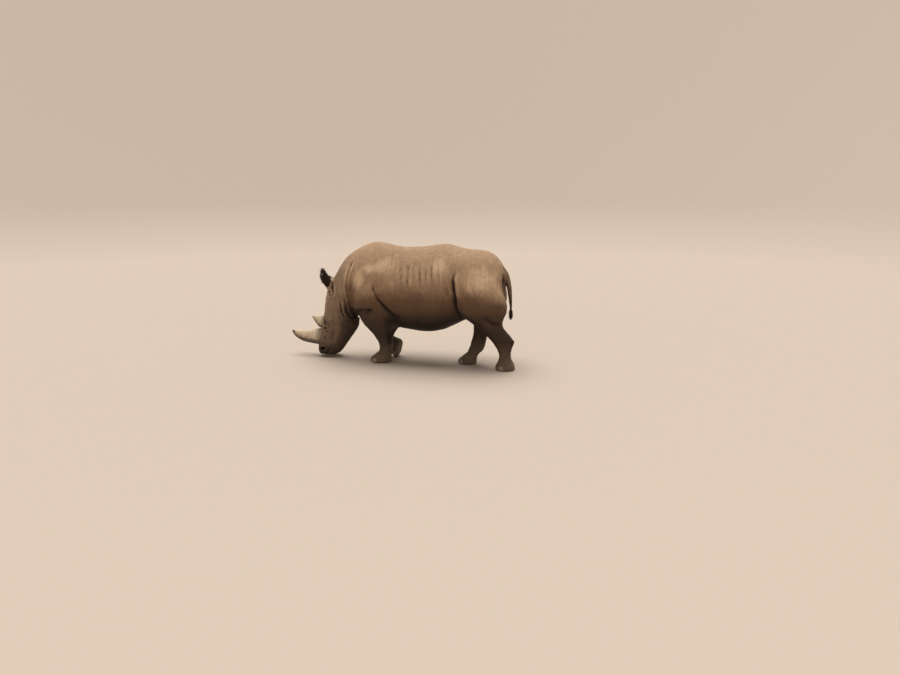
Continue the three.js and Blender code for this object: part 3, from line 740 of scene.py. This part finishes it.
# The middle line of each horn as (ahead, up), from its root to its tip.
HORN_LINES = {
    "horn_front": [(900, 274), (1080, 272), (1160, 269), (1250, 271), (1320, 281), (1384, 298), (1450, 350)],
    "horn_rear": [(850, 486), (960, 496), (1008, 505), (1050, 527), (1088, 549), (1115, 567)],
}
NAIL_EDGE, NAIL_THICK = 2.5, 11  # mm, a nail's height on the hide at its edge and in its middle
NAIL_REACH, NAIL_DOME = 55, 5  # mm, how far a nail's swelling spreads and how much it adds


def make_horn(node, finish):
    horn = evened(f"{node}_keratin", [node], HORN_SQUARE)
    clay = Clay(horn)
    clay.fair(HORN_FAIRING)
    line = np.array([at(ahead, 0, up)[:] for ahead, up in HORN_LINES[node]])
    ahead = -clay.places[:, 1]
    middle = np.interp(ahead, -line[:, 1], line[:, 2])
    share = (ahead - ahead.min()) / (ahead.max() - ahead.min())
    normals = clay.normals()
    fibres = ripples(clay.places, 9, (1, 14, 1), 1.0) + 0.6 * ripples(clay.places, 4.5, (1, 16, 1), 4.0)
    growth = ripples(clay.places, 34, (6, 1, 6), 8.0)
    rough = 0.9 + 2.2 * bell(share / 0.2)
    clay.push(normals, fibres * rough + growth * 0.6 * (1 - share))
    clay.write()
    store(horn, "above", (clay.places[:, 2] - middle) / MM)
    store(horn, "share", share)
    horn.data.materials.append(finish)
    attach(horn, "root")
    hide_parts(node)
    return horn


def crowned(node, places):
    """The way a nail looks out from its foot, and 1 at its middle down to 0 at its edge."""
    foot_low, foot_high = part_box(node.replace("nail", "foot").rsplit("_", 1)[0])
    low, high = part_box(node)
    outward = np.array((low + high - foot_low - foot_high).normalized())
    away = places - np.array((low + high) / 2)
    off_axis = length_of(away - (away @ outward)[:, None] * outward) / (NAIL_REACH * MM)
    return outward, np.clip(1 - off_axis**2, 0, 1)


def make_nail(node, finish):
    nail = evened(f"{node}_keratin", [node], NAIL_SQUARE)
    clay = Clay(nail)
    clay.relax(16)
    outward, crown = crowned(node, clay.places)
    normals = clay.normals()
    dome = NAIL_DOME * crown * smooth_step(normals @ outward, 0.1, 0.5)
    ridges = ripples(clay.places, 9, (1, 1, 6), 1.0) * 0.6 + ripples(clay.places, 20, (3, 3, 0.5), 5.0) * 0.8
    clay.push(normals, dome + ridges)
    clay.stand()
    nail.data.materials.append(finish)
    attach(nail, "root")
    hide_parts(node)
    return nail


def seat_nail(node, nail, tree):
    """Lays a nail down on the hide wherever it stands off it, and lowest at its edge."""
    clay = Clay(nail)
    _, crown = crowned(node, clay.places)
    most = (NAIL_EDGE + (NAIL_THICK - NAIL_EDGE) * crown) * MM
    under, normals, far = nearest(tree, clay.places)
    outside = ((clay.places - under) * normals).sum(1) > 0
    share = np.where(outside, np.minimum(most / np.maximum(far, WELD), 1), 1)
    clay.places = under + (clay.places - under) * share[:, None]
    clay.relax(5)
    clay.stand()


# ---- Hairs ----
HAIR_STEPS = 4
HAIR_PATCH = 0.003  # the side of each hair's patch on its unwrapped skin
EAR_HAIRS, TAIL_HAIRS = 1300, 420
TUFT_TOP, TUFT_ROOT, TUFT_END = 802, 702, 642  # mm up, its highest and lowest roots, and its end
LASHES = ((1, 30, 15), (-1, 14, 8))  # above and below the slit: their number and longest length in mm


def hair_pattern():
    """A thin tapering square bristle, one unit long and one in radius, cut so that it can bend."""
    bristle = bmesh.new()
    bmesh.ops.create_cone(
        bristle, cap_ends=True, segments=4, radius1=1.0, radius2=0.15, depth=1.0,
        matrix=Matrix.Translation((0, 0, 0.5)),
    )
    for step in range(1, HAIR_STEPS):
        whole = [*bristle.verts, *bristle.edges, *bristle.faces]
        bmesh.ops.bisect_plane(bristle, geom=whole, plane_co=(0, 0, step / HAIR_STEPS), plane_no=(0, 0, 1))
    bristle.loops.layers.uv.new("OFBake")
    return bristle


def make_hairs(name, hairs, finish):
    """Joins bristles, each told by its root, way, droop, length, thickness and unwrapped place."""
    pattern = hair_pattern()
    joined, one = bmesh.new(), bpy.data.meshes.new("one_bristle")
    for root, way, droop, length, thickness, unwrapped in hairs:
        bristle = pattern.copy()
        turn = way.to_track_quat("Z", "Y").to_matrix()
        for vertex in bristle.verts:
            along = vertex.co.z
            across = turn @ Vector((vertex.co.x, vertex.co.y, 0)) * thickness * MM
            vertex.co = root + across + (way * along + droop * along * along) * length * MM
        layer = bristle.loops.layers.uv["OFBake"]
        for face in bristle.faces:
            for corner, loop in enumerate(face.loops):
                patch = Vector((corner % 2, corner // 2)) * HAIR_PATCH
                loop[layer].uv = Vector(unwrapped) + patch
        bristle.to_mesh(one)
        bristle.free()
        joined.from_mesh(one)
    pattern.free()
    bpy.data.meshes.remove(one)
    piece = piece_of(name, joined)
    piece.data.shade_smooth()
    piece.data.materials.append(finish)
    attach(piece, "root")
    return piece


def jitter(draw, amount):
    return Vector((draw.uniform(-1, 1), draw.uniform(-1, 1), draw.uniform(-1, 1))) * amount


def ear_hairs(side_name, tree):
    """A fringe along the ear's rim, longest and closest at the tip."""
    draw = random.Random(f"ear {side_name}")
    ear = ear_frame(side_name)
    turn = ear.to_3x3()
    hairs = []
    for number in range(EAR_HAIRS):
        share = 1.03 - 0.63 * draw.random() ** 1.9
        tip = smooth_step(share, 0.6, 1.0)
        edge = (1 if number % 2 else -1) * draw.uniform(1 - 1.1 * smooth_step(share, 0.8, 0.98), 1)
        half = float(np.interp(share, *EAR_WIDTHS)) + 12
        beside = Vector((edge * half, draw.uniform(-60, -34) + 14 * (share > 0.9), share * EAR_LENGTH))
        root, _, _, _ = tree.find_nearest(ear @ (beside * MM))
        way = Vector((edge * (0.9 - 0.45 * tip), draw.uniform(-0.3, 0.15), 0.35 + 0.7 * tip))
        way = (turn @ (way + jitter(draw, 0.3))).normalized()
        droop = turn @ Vector((-edge * 0.25, 0.1, 0.25)) + jitter(draw, 0.1)
        length = draw.uniform(16, 32) + 40 * tip * draw.uniform(0.3, 1)
        unwrapped = (0.5 + 0.24 * edge * (1.05 - share), 0.05 + 0.85 * share)
        hairs.append((root - way * 2 * MM, way, droop, length, draw.uniform(0.7, 1.3), unwrapped))
    return hairs


def tail_hairs(tree):
    """Stiff bristles round the end of the tail."""
    draw = random.Random("tail")
    hairs = []
    for _ in range(TAIL_HAIRS):
        up = TUFT_ROOT + (TUFT_TOP - TUFT_ROOT) * draw.random() ** 1.4
        angle = draw.uniform(0, 2 * math.pi)
        around = Vector((math.cos(angle), math.sin(angle), 0))
        root, _, _, _ = tree.find_nearest(at(-1816, 0, up) + around * 40 * MM)
        low = (TUFT_TOP - up) / (TUFT_TOP - TUFT_ROOT)
        way = (around * (0.5 - 0.25 * low) + BELOW + jitter(draw, 0.12)).normalized()
        length = min(draw.uniform(60, 95), up - TUFT_END)
        unwrapped = (0.05 + 0.9 * angle / (2 * math.pi), 0.1 + 0.8 * low)
        droop = -around * 0.22 + jitter(draw, 0.07)
        hairs.append((root - around * MM, way, droop, length, draw.uniform(1.0, 1.7), unwrapped))
    return hairs


def eyelashes(side_name):
    draw = random.Random(f"lashes {side_name}")
    centre, outward, slit, brow = eye_frame(side_name)
    hairs, half = [], EYE_SLIT["half"]
    for lid, count, longest in LASHES:
        for number in range(count):
            u = (2 * (number + draw.random()) / count - 1) * 0.86 * half
            gape = EYE_SLIT["upper"] if lid > 0 else EYE_SLIT["lower"]
            v = lid * (gape * max(1 - (u / half) ** 2, 0) ** 0.8 + 1.2)
            w = math.sqrt((EYE_RADIUS + LID_THICK) ** 2 - u * u - v * v)
            root = centre + (slit * u + brow * v + outward * w) * MM
            way = (outward + brow * lid * 0.55 + slit * u * 0.03 + jitter(draw, 0.12)).normalized()
            length = longest * draw.uniform(0.7, 1)
            unwrapped = (0.5 + 0.4 * u / half, 0.5 + 0.3 * lid)
            hairs.append((root, way, brow * lid * 0.25, length, 0.4, unwrapped))
    return hairs


# ---- Finishes ----
def operator(operation, swapped=False):
    """The method behind an operator of a wire, which adds one Math node."""
    def apply(wire, other):
        values = (other, wire) if swapped else (wire, other)
        return wire.finish.node("ShaderNodeMath", {"operation": operation}, dict(enumerate(values)))
    return apply


class Wire:
    """A node's output, which adds Math nodes as it is added, multiplied and so on."""

    def __init__(self, finish, socket):
        self.finish, self.socket = finish, socket

    __add__, __radd__ = operator("ADD"), operator("ADD", True)
    __sub__, __rsub__ = operator("SUBTRACT"), operator("SUBTRACT", True)
    __mul__, __rmul__ = operator("MULTIPLY"), operator("MULTIPLY", True)
    __truediv__, __pow__ = operator("DIVIDE"), operator("POWER")


# How ragged a spot's edge is, and how far from its middle, in radii, it ends and is whole.
RAGGED, SPOT_EDGE, SPOT_MIDDLE = 2.2, 1.35, 0.1


class Finish:
    """A material under construction."""

    def __init__(self, name, **plain):
        self.material = bpy.data.materials.new(name)
        self.material.use_nodes = True
        self.tree = self.material.node_tree
        self.tree.nodes.clear()
        out = self.tree.nodes.new("ShaderNodeOutputMaterial")
        self.shader = self.tree.nodes.new("ShaderNodeBsdfPrincipled")
        self.tree.links.new(self.shader.outputs[0], out.inputs["Surface"])
        for socket, value in plain.items():
            self.shader.inputs[socket.replace("_", " ")].default_value = value

    def set(self, socket, value):
        if isinstance(value, Wire):
            self.tree.links.new(value.socket, socket)
        else:
            socket.default_value = value

    def node(self, kind, settings=None, inputs=None, output=0):
        """Adds a node: its settings come first, and then its sockets' values and wires."""
        node = self.tree.nodes.new(kind)
        for name, value in (settings or {}).items():
            setattr(node, name, value)
        for name, value in (inputs or {}).items():
            self.set(node.inputs[name], value)
        return Wire(self, node.outputs[output])

    def vector(self, operation, *values, output=0):
        settings = {"operation": operation}
        return self.node("ShaderNodeVectorMath", settings, dict(enumerate(values)), output)

    def place(self):
        return self.node("ShaderNodeTexCoord", output="Object")

    def axes(self, vector):
        parts = self.node("ShaderNodeSeparateXYZ", inputs={0: vector}).socket.node
        return [Wire(self, socket) for socket in parts.outputs]

    def attributes(self, *names):
        return [self.node("ShaderNodeAttribute", {"attribute_name": name}, output="Fac") for name in names]

    def stretched(self, vector, *scale):
        return self.vector("MULTIPLY", vector, scale)

    def noise(self, vector, scale, detail=3.0, roughness=0.5, distortion=0.0, output=0):
        values = {
            "Vector": vector, "Scale": scale, "Detail": detail, "Roughness": roughness,
            "Distortion": distortion,
        }
        return self.node("ShaderNodeTexNoise", inputs=values, output=output)

    def cells(self, vector, scale):
        """The distance to the edge of the nearest cell of a random net."""
        values = {"Vector": vector, "Scale": scale}
        return self.node("ShaderNodeTexVoronoi", {"feature": "DISTANCE_TO_EDGE"}, values, "Distance")

    def warped(self, vector, scale, reach):
        """The place, pushed about by up to reach, in metres."""
        push = self.noise(vector, scale, 2.0, output="Color")
        return self.vector("MULTIPLY_ADD", push, (reach,) * 3, vector)

    def spot(self, vector, middle, radii, ragged):
        """1 in an oval spot, and 0 outside it, with a ragged edge."""
        scaled = self.vector("DIVIDE", self.vector("SUBTRACT", vector, middle[:]), radii)
        out = self.vector("LENGTH", scaled, output="Value")
        return self.step(out + (ragged - 0.5) * RAGGED, SPOT_EDGE, SPOT_MIDDLE)

    def winding(self, vector, scale):
        """0 along thin winding lines, and 1 between them."""
        return self.step((self.noise(vector, scale) - 0.5) ** 2, 0.0, 0.005)

    def step(self, value, low, high):
        settings = {"interpolation_type": "SMOOTHSTEP"}
        return self.node("ShaderNodeMapRange", settings, {"Value": value, "From Min": low, "From Max": high})

    def mix(self, share, first, second):
        settings = {"data_type": "RGBA", "clamp_factor": True}
        return self.node("ShaderNodeMix", settings, {0: share, 6: first, 7: second}, output=2)

    def layered(self, colour, layers):
        """The colour under thin layers, each told by its share and its own colour."""
        for share, layer in layers:
            colour = self.mix(share, colour, layer)
        return colour

    def bump(self, height):
        return self.node("ShaderNodeBump", inputs={"Height": height, "Distance": 1.0, "Strength": 1.0})

    def finished(self, **wires):
        for socket, value in wires.items():
            self.set(self.shader.inputs[socket.replace("_", " ")], value)
        return self.material


def rgb(red, green, blue):
    return (red, green, blue, 1.0)


# The first colour is the dust's tan, laid both as dust and as painted light on the hide's top.
DUST_AND_TOP_LIGHT, PALE_DUST = rgb(0.47, 0.315, 0.2), rgb(0.78, 0.57, 0.38)
FLANK, UMBER = rgb(0.165, 0.095, 0.056), rgb(0.12, 0.07, 0.044)
CHEEK, SHIN = rgb(0.25, 0.185, 0.14), rgb(0.2, 0.145, 0.105)
# The first colour is damp earth's, laid also as painted shade under the body. The second is painted shade in
# creases, hollows and cracks, and on what faces down.
DAMP_AND_SHADE, PAINTED_SHADE = rgb(0.045, 0.029, 0.021), rgb(0.015, 0.009, 0.007)
EAR_DARK = rgb(0.022, 0.014, 0.01)
FLOOR = rgb(0.52, 0.45, 0.385)
# Dark patches painted on both sides, mostly as painted shade: in the nostrils, round and below the eye, in
# the armpit, behind the knee and at the heel. The patches on the lips and low on the belly only darken the
# hide there. Each is told by the place on the left side, and its radii across, along and upwards in metres.
SHADE_AND_DARK_SPOTS = {
    "nostril": (at(904, 138, 128), (0.06, 0.055, 0.048)),
    "eye": (at(836, 165, 530), (0.07, 0.022, 0.034)),
    "below_the_eye": (at(845, 145, 440), (0.05, 0.026, 0.019)),
    "lips": (at(850, 100, 55), (0.17, 0.17, 0.12)),
    "belly": (at(-725, 280, 550), (0.2, 0.2, 0.075)),
    "armpit": (at(-225, 345, 625), (0.13, 0.1, 0.1)),
    "behind_the_knee": (at(-185, 270, 420), (0.12, 0.045, 0.17)),
    "heel": (at(-1905, 215, 400), (0.1, 0.035, 0.09)),
}
# Where the dust lies thickest, told in the same way but on one side at a time.
DUST_SPOTS = [
    (at(215, 366, 1195), (0.3, 0.09, 0.13)),
    (at(-150, 326, 1395), (0.3, 0.17, 0.1)),
    (at(60, 340, 1350), (0.3, 0.14, 0.07)),
    (at(-930, 330, 1400), (0.3, 0.12, 0.13)),
    (at(-1460, 375, 1270), (0.3, 0.24, 0.16)),
    (at(180, -366, 1150), (0.3, 0.12, 0.12)),
    (at(-700, -366, 1300), (0.3, 0.22, 0.1)),
    (at(-1400, -366, 1300), (0.3, 0.2, 0.13)),
]


def hide_finish():
    paint = Finish("dusty_hide", Specular_IOR_Level=0.2)
    place = paint.place()
    _, behind, height = paint.axes(place)
    _, _, upward = paint.axes(paint.node("ShaderNodeNewGeometry", output="Normal"))
    hollow, valley, stain, ear_inside = paint.attributes("hollow", "valley", "stain", "ear_inside")
    broad = paint.noise(place, 3.2, 4, 0.55)
    patches = paint.noise(paint.stretched(place, 1, 1, 0.55), 9, 5, 0.6, 0.4)
    streaks = paint.noise(paint.stretched(place, 1, 1, 0.16), 24, 4, 0.55)
    grain = paint.noise(place, 120, 3, 0.6)
    warped = paint.warped(place, 16, 0.03)

    # The relief: winding creases, a net of cracks, and fine grain.
    upright = paint.winding(paint.stretched(warped, 1, 1, 0.45), 24)
    level = paint.winding(paint.stretched(warped, 0.5, 0.5, 1.3), 24)
    creases = upright + (level - upright) * stain
    net = paint.step(paint.cells(warped, 75), 0.0, 0.16)
    fine_net = paint.step(paint.cells(warped, 190), 0.0, 0.22)
    relief = creases * 0.0014 + net * 0.0005 + fine_net * 0.0003 + (grain - 0.5) * 0.0006
    # Painted shade: the colour darkens in the relief's grooves.
    cracks = (1 - creases) * 0.1 + (1 - net) * 0.13 + (1 - fine_net) * 0.09

    # Dust lies on what faces up and thins out down the side. This also paints in the light from above, as a
    # lighter top and darker sides. It is gone where the hide is stained or painted dark as shade.
    face = paint.step(behind, -0.62, -0.8)
    high = upward * 0.7 + (height - 1.0) + (broad - 0.5) * 0.7
    dust_and_top_light = paint.step(high + face * 0.38, -0.22, 0.52)
    low_dust = paint.step(height + (patches - 0.5) * 0.2, 0.42, 0.04)
    rub = paint.step(hollow, -0.05, -0.5) * (1 - 0.7 * stain)
    dusty_spots = [paint.spot(warped, spot, radii, patches) for spot, radii in DUST_SPOTS]
    # Dark patches, mostly painted shade.
    shade_and_dark_spots = [
        paint.spot(warped, Vector((spot.x * side, spot.y, spot.z)), radii, patches)
        for spot, radii in SHADE_AND_DARK_SPOTS.values() for side in SIDES.values()
    ]
    colour = paint.layered(FLANK, [
        # Dust, and painted light on the top: lighter where the hide faces up and stands high.
        (dust_and_top_light, DUST_AND_TOP_LIGHT),
        (face * 0.6, CHEEK),
        *((spot * 0.86, PALE_DUST) for spot in dusty_spots),
        (paint.step(patches, 0.5, 0.72) * 0.3 * dust_and_top_light * (1 - stain), PALE_DUST),
        (paint.step(streaks, 0.5, 0.8) * 0.3, UMBER),
        # Damp earth, and painted shade on the low body, the underside, the jaw and under the shoulder plate.
        (stain * 0.92, DAMP_AND_SHADE),
        (low_dust * 0.75 * (1 - face), SHIN),
        (rub * 0.42 * dust_and_top_light, PALE_DUST),
        # Painted shade in creases and broad valleys, on every surface facing down, in the dark patches and in
        # the relief's cracks.
        (paint.step(hollow, 0.05, 0.8) * 0.88, PAINTED_SHADE),
        (paint.step(valley, 0.12, 0.9) * 0.82, PAINTED_SHADE),
        (paint.step(upward, -0.15, -0.75) * 0.92 * (1 - 0.4 * face), PAINTED_SHADE),
        *((spot * 0.92, PAINTED_SHADE) for spot in shade_and_dark_spots),
        (cracks, PAINTED_SHADE),
        (paint.step(grain, 0.4, 0.75) * 0.12, UMBER),
        (ear_inside * 0.92, EAR_DARK),
    ])
    roughness = 0.82 - 0.2 * stain + (grain - 0.5) * 0.15
    return paint.finished(Base_Color=colour, Roughness=roughness, Normal=paint.bump(relief))


def horn_finish():
    paint = Finish("horn_keratin", Specular_IOR_Level=0.4)
    place = paint.place()
    above, share = paint.attributes("above", "share")
    fibres = paint.noise(paint.stretched(place, 1, 0.06, 1), 260, 3, 0.6)
    strands = paint.noise(paint.stretched(place, 1, 0.09, 1), 70, 4, 0.6)
    bands = paint.noise(paint.stretched(place, 0.15, 1, 0.15), 34)
    blotch = paint.noise(place, 22, 4, 0.6)
    # Painted shade: the horn darkens below its middle line.
    lower = above + (blotch - 0.5) * 50 + (strands - 0.5) * 70 + (0.5 - share) * 60
    colour = paint.layered(paint.mix(fibres, rgb(0.5, 0.4, 0.28), rgb(0.85, 0.72, 0.54)), [
        (paint.step(bands, 0.45, 0.75) * 0.4, rgb(0.26, 0.19, 0.12)),
        (paint.step(strands, 0.52, 0.75) * 0.5, rgb(0.2, 0.14, 0.09)),
        (paint.step(lower, 20, -50) * 0.93, rgb(0.045, 0.03, 0.02)),
        (paint.step(share + (blotch - 0.5) * 0.14, 0.86, 0.97) * 0.85, rgb(0.04, 0.027, 0.02)),
        (paint.step(share + (strands - 0.5) * 0.12, 0.27, 0.04) * 0.75, rgb(0.15, 0.105, 0.07)),
    ])
    relief = paint.bump(fibres * 0.0008 + strands * 0.0012 + bands * 0.0006)
    return paint.finished(Base_Color=colour, Roughness=0.5 + fibres * 0.25, Normal=relief)


def nail_finish():
    paint = Finish("nail_keratin", Specular_IOR_Level=0.4)
    place = paint.place()
    _, _, height = paint.axes(place)
    fibres = paint.noise(paint.stretched(place, 1, 1, 0.12), 220, 3, 0.6)
    dirt = paint.noise(place, 40, 4, 0.6)
    colour = paint.layered(paint.mix(fibres, rgb(0.17, 0.135, 0.105), rgb(0.36, 0.3, 0.24)), [
        (paint.step(dirt, 0.45, 0.7) * 0.5, rgb(0.1, 0.075, 0.055)),
        (paint.step(height, 0.03, 0.0) * 0.6, rgb(0.06, 0.045, 0.035)),
    ])
    relief = paint.bump(fibres * 0.001)
    return paint.finished(Base_Color=colour, Roughness=0.5 + dirt * 0.3, Normal=relief)


def eye_finish(side_name):
    centre, _, slit, brow = eye_frame(side_name)
    paint = Finish(f"eye_{side_name}", Specular_IOR_Level=0.3, Coat_Roughness=0.03)
    place = paint.place()
    away = paint.vector("SUBTRACT", place, centre[:])
    lengthwise = paint.vector("DOT_PRODUCT", away, slit[:], output="Value") / MM
    across = paint.vector("DOT_PRODUCT", away, brow[:], output="Value") / MM
    ring = (lengthwise**2 + across**2) ** 0.5
    pupil = ((lengthwise * 0.8) ** 2 + (across * 1.25) ** 2) ** 0.5
    rays = paint.noise(place, 700, 2)
    iris = paint.mix(rays, rgb(0.012, 0.006, 0.003), rgb(0.04, 0.018, 0.008))
    white = paint.mix(rays, rgb(0.02, 0.012, 0.009), rgb(0.06, 0.04, 0.03))
    colour = paint.layered(iris, [
        (paint.step(ring, 12.5, 14.5), white),
        (paint.step(pupil, 5.4, 4.6), rgb(0.003, 0.003, 0.003)),
    ])
    return paint.finished(Base_Color=colour, Roughness=0.12, Coat_Weight=0.35)


def hair_finish():
    paint = Finish("coarse_hair", Specular_IOR_Level=0.4)
    streaks = paint.noise(paint.place(), 90)
    colour = paint.mix(streaks, rgb(0.014, 0.009, 0.006), rgb(0.06, 0.038, 0.025))
    return paint.finished(Base_Color=colour, Roughness=0.5 + 0.2 * streaks)


def floor_finish():
    return Finish("pale_floor", Roughness=0.85, Specular_IOR_Level=0.2, Base_Color=FLOOR).material


# ---- The studio ----
SENSOR, FOCAL_LENGTH, IMAGE_WIDTH = 36, 728, 900  # mm, and the other two in pixels of the image
CAMERA_PLACE, CAMERA_WAY = (9.5746, 3.2972, 2.4826), (-0.94462, -0.25311, -0.20889)
# The floor in metres: how far it is flat, the radius of its bend, its slope in degrees and its height.
SWEEP = {"from": 16, "bend": 8, "slope": 38, "height": 16}
BEND_STEPS, ROUND_STEPS = 8, 72


def aimed(name, data, direction):
    """Adds a camera or a lamp that looks in a direction."""
    thing = bpy.data.objects.new(name, data)
    thing.rotation_euler = Vector(direction).to_track_quat("-Z", "Y").to_euler()
    bpy.context.scene.collection.objects.link(thing)
    return thing


def make_camera():
    """Stands ten metres off on the animal's left, 2.5 m up, and looks 12 degrees down."""
    data = bpy.data.cameras.new("camera")
    data.sensor_width = SENSOR
    data.lens = SENSOR * FOCAL_LENGTH / IMAGE_WIDTH
    camera = aimed("camera", data, CAMERA_WAY)
    camera.location = CAMERA_PLACE
    bpy.context.scene.camera = camera


def make_studio():
    """A wide pale floor that sweeps up all round, under one large soft light from above."""
    profile = [(0, 0), (SWEEP["from"], 0)]
    for step in range(1, BEND_STEPS + 1):
        angle = math.radians(step * SWEEP["slope"] / BEND_STEPS)
        across = SWEEP["from"] + SWEEP["bend"] * math.sin(angle)
        profile.append((across, SWEEP["bend"] * (1 - math.cos(angle))))
    run = (SWEEP["height"] - profile[-1][1]) / math.tan(math.radians(SWEEP["slope"]))
    profile.append((profile[-1][0] + run, SWEEP["height"]))
    ground = bmesh.new()
    line = [ground.verts.new((across, 0, up)) for across, up in profile]
    edges = [ground.edges.new(pair) for pair in zip(line, line[1:])]
    bmesh.ops.spin(
        ground, geom=[*line, *edges], axis=(0, 0, 1), cent=(0, 0, 0), angle=2 * math.pi,
        steps=ROUND_STEPS, use_merge=True,
    )
    bmesh.ops.remove_doubles(ground, verts=ground.verts, dist=WELD)
    floor = piece_of("floor", ground)
    floor.data.shade_smooth()
    floor.data.materials.append(floor_finish())
    world = bpy.data.worlds.new("studio")
    bpy.context.scene.world = world
    world.use_nodes = True
    sky = world.node_tree.nodes["Background"].inputs
    sky["Color"].default_value, sky["Strength"].default_value = (1.0, 0.93, 0.86, 1), 0.33
    lamp = bpy.data.lights.new("overhead", "SUN")
    lamp.energy, lamp.angle, lamp.color = 3.4, math.radians(60), (1.0, 0.95, 0.89)
    aimed("overhead", lamp, (0.2, 0.12, -1))
    bpy.context.scene.view_settings.view_transform = "Standard"


# ---- Everything together ----
make_camera()
make_studio()

horn_keratin, nail_keratin = horn_finish(), nail_finish()
horns = [make_horn(node, horn_keratin) for node in HORN_LINES]
nails = [make_nail(node, nail_keratin) for node in NAILS]

skin = make_skin(horns, nails)
skin_tree = tree_of(skin)
for node, nail in zip(NAILS, nails):
    seat_nail(node, nail, skin_tree)
for side_name in SIDES:
    shape_lids(skin, side_name)
    make_eye(side_name, eye_finish(side_name))
skin.data.shade_smooth()
skin.data.materials.append(hide_finish())
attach(skin, "root")
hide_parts(*FLESH)

coarse_hair = hair_finish()
for side_name in SIDES:
    make_hairs(f"ear_fringe_{side_name}", ear_hairs(side_name, skin_tree), coarse_hair)
    make_hairs(f"eyelashes_{side_name}", eyelashes(side_name), coarse_hair)
bristles = make_hairs("tail_bristles", tail_hairs(skin_tree), coarse_hair)
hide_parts("tail_tuft")
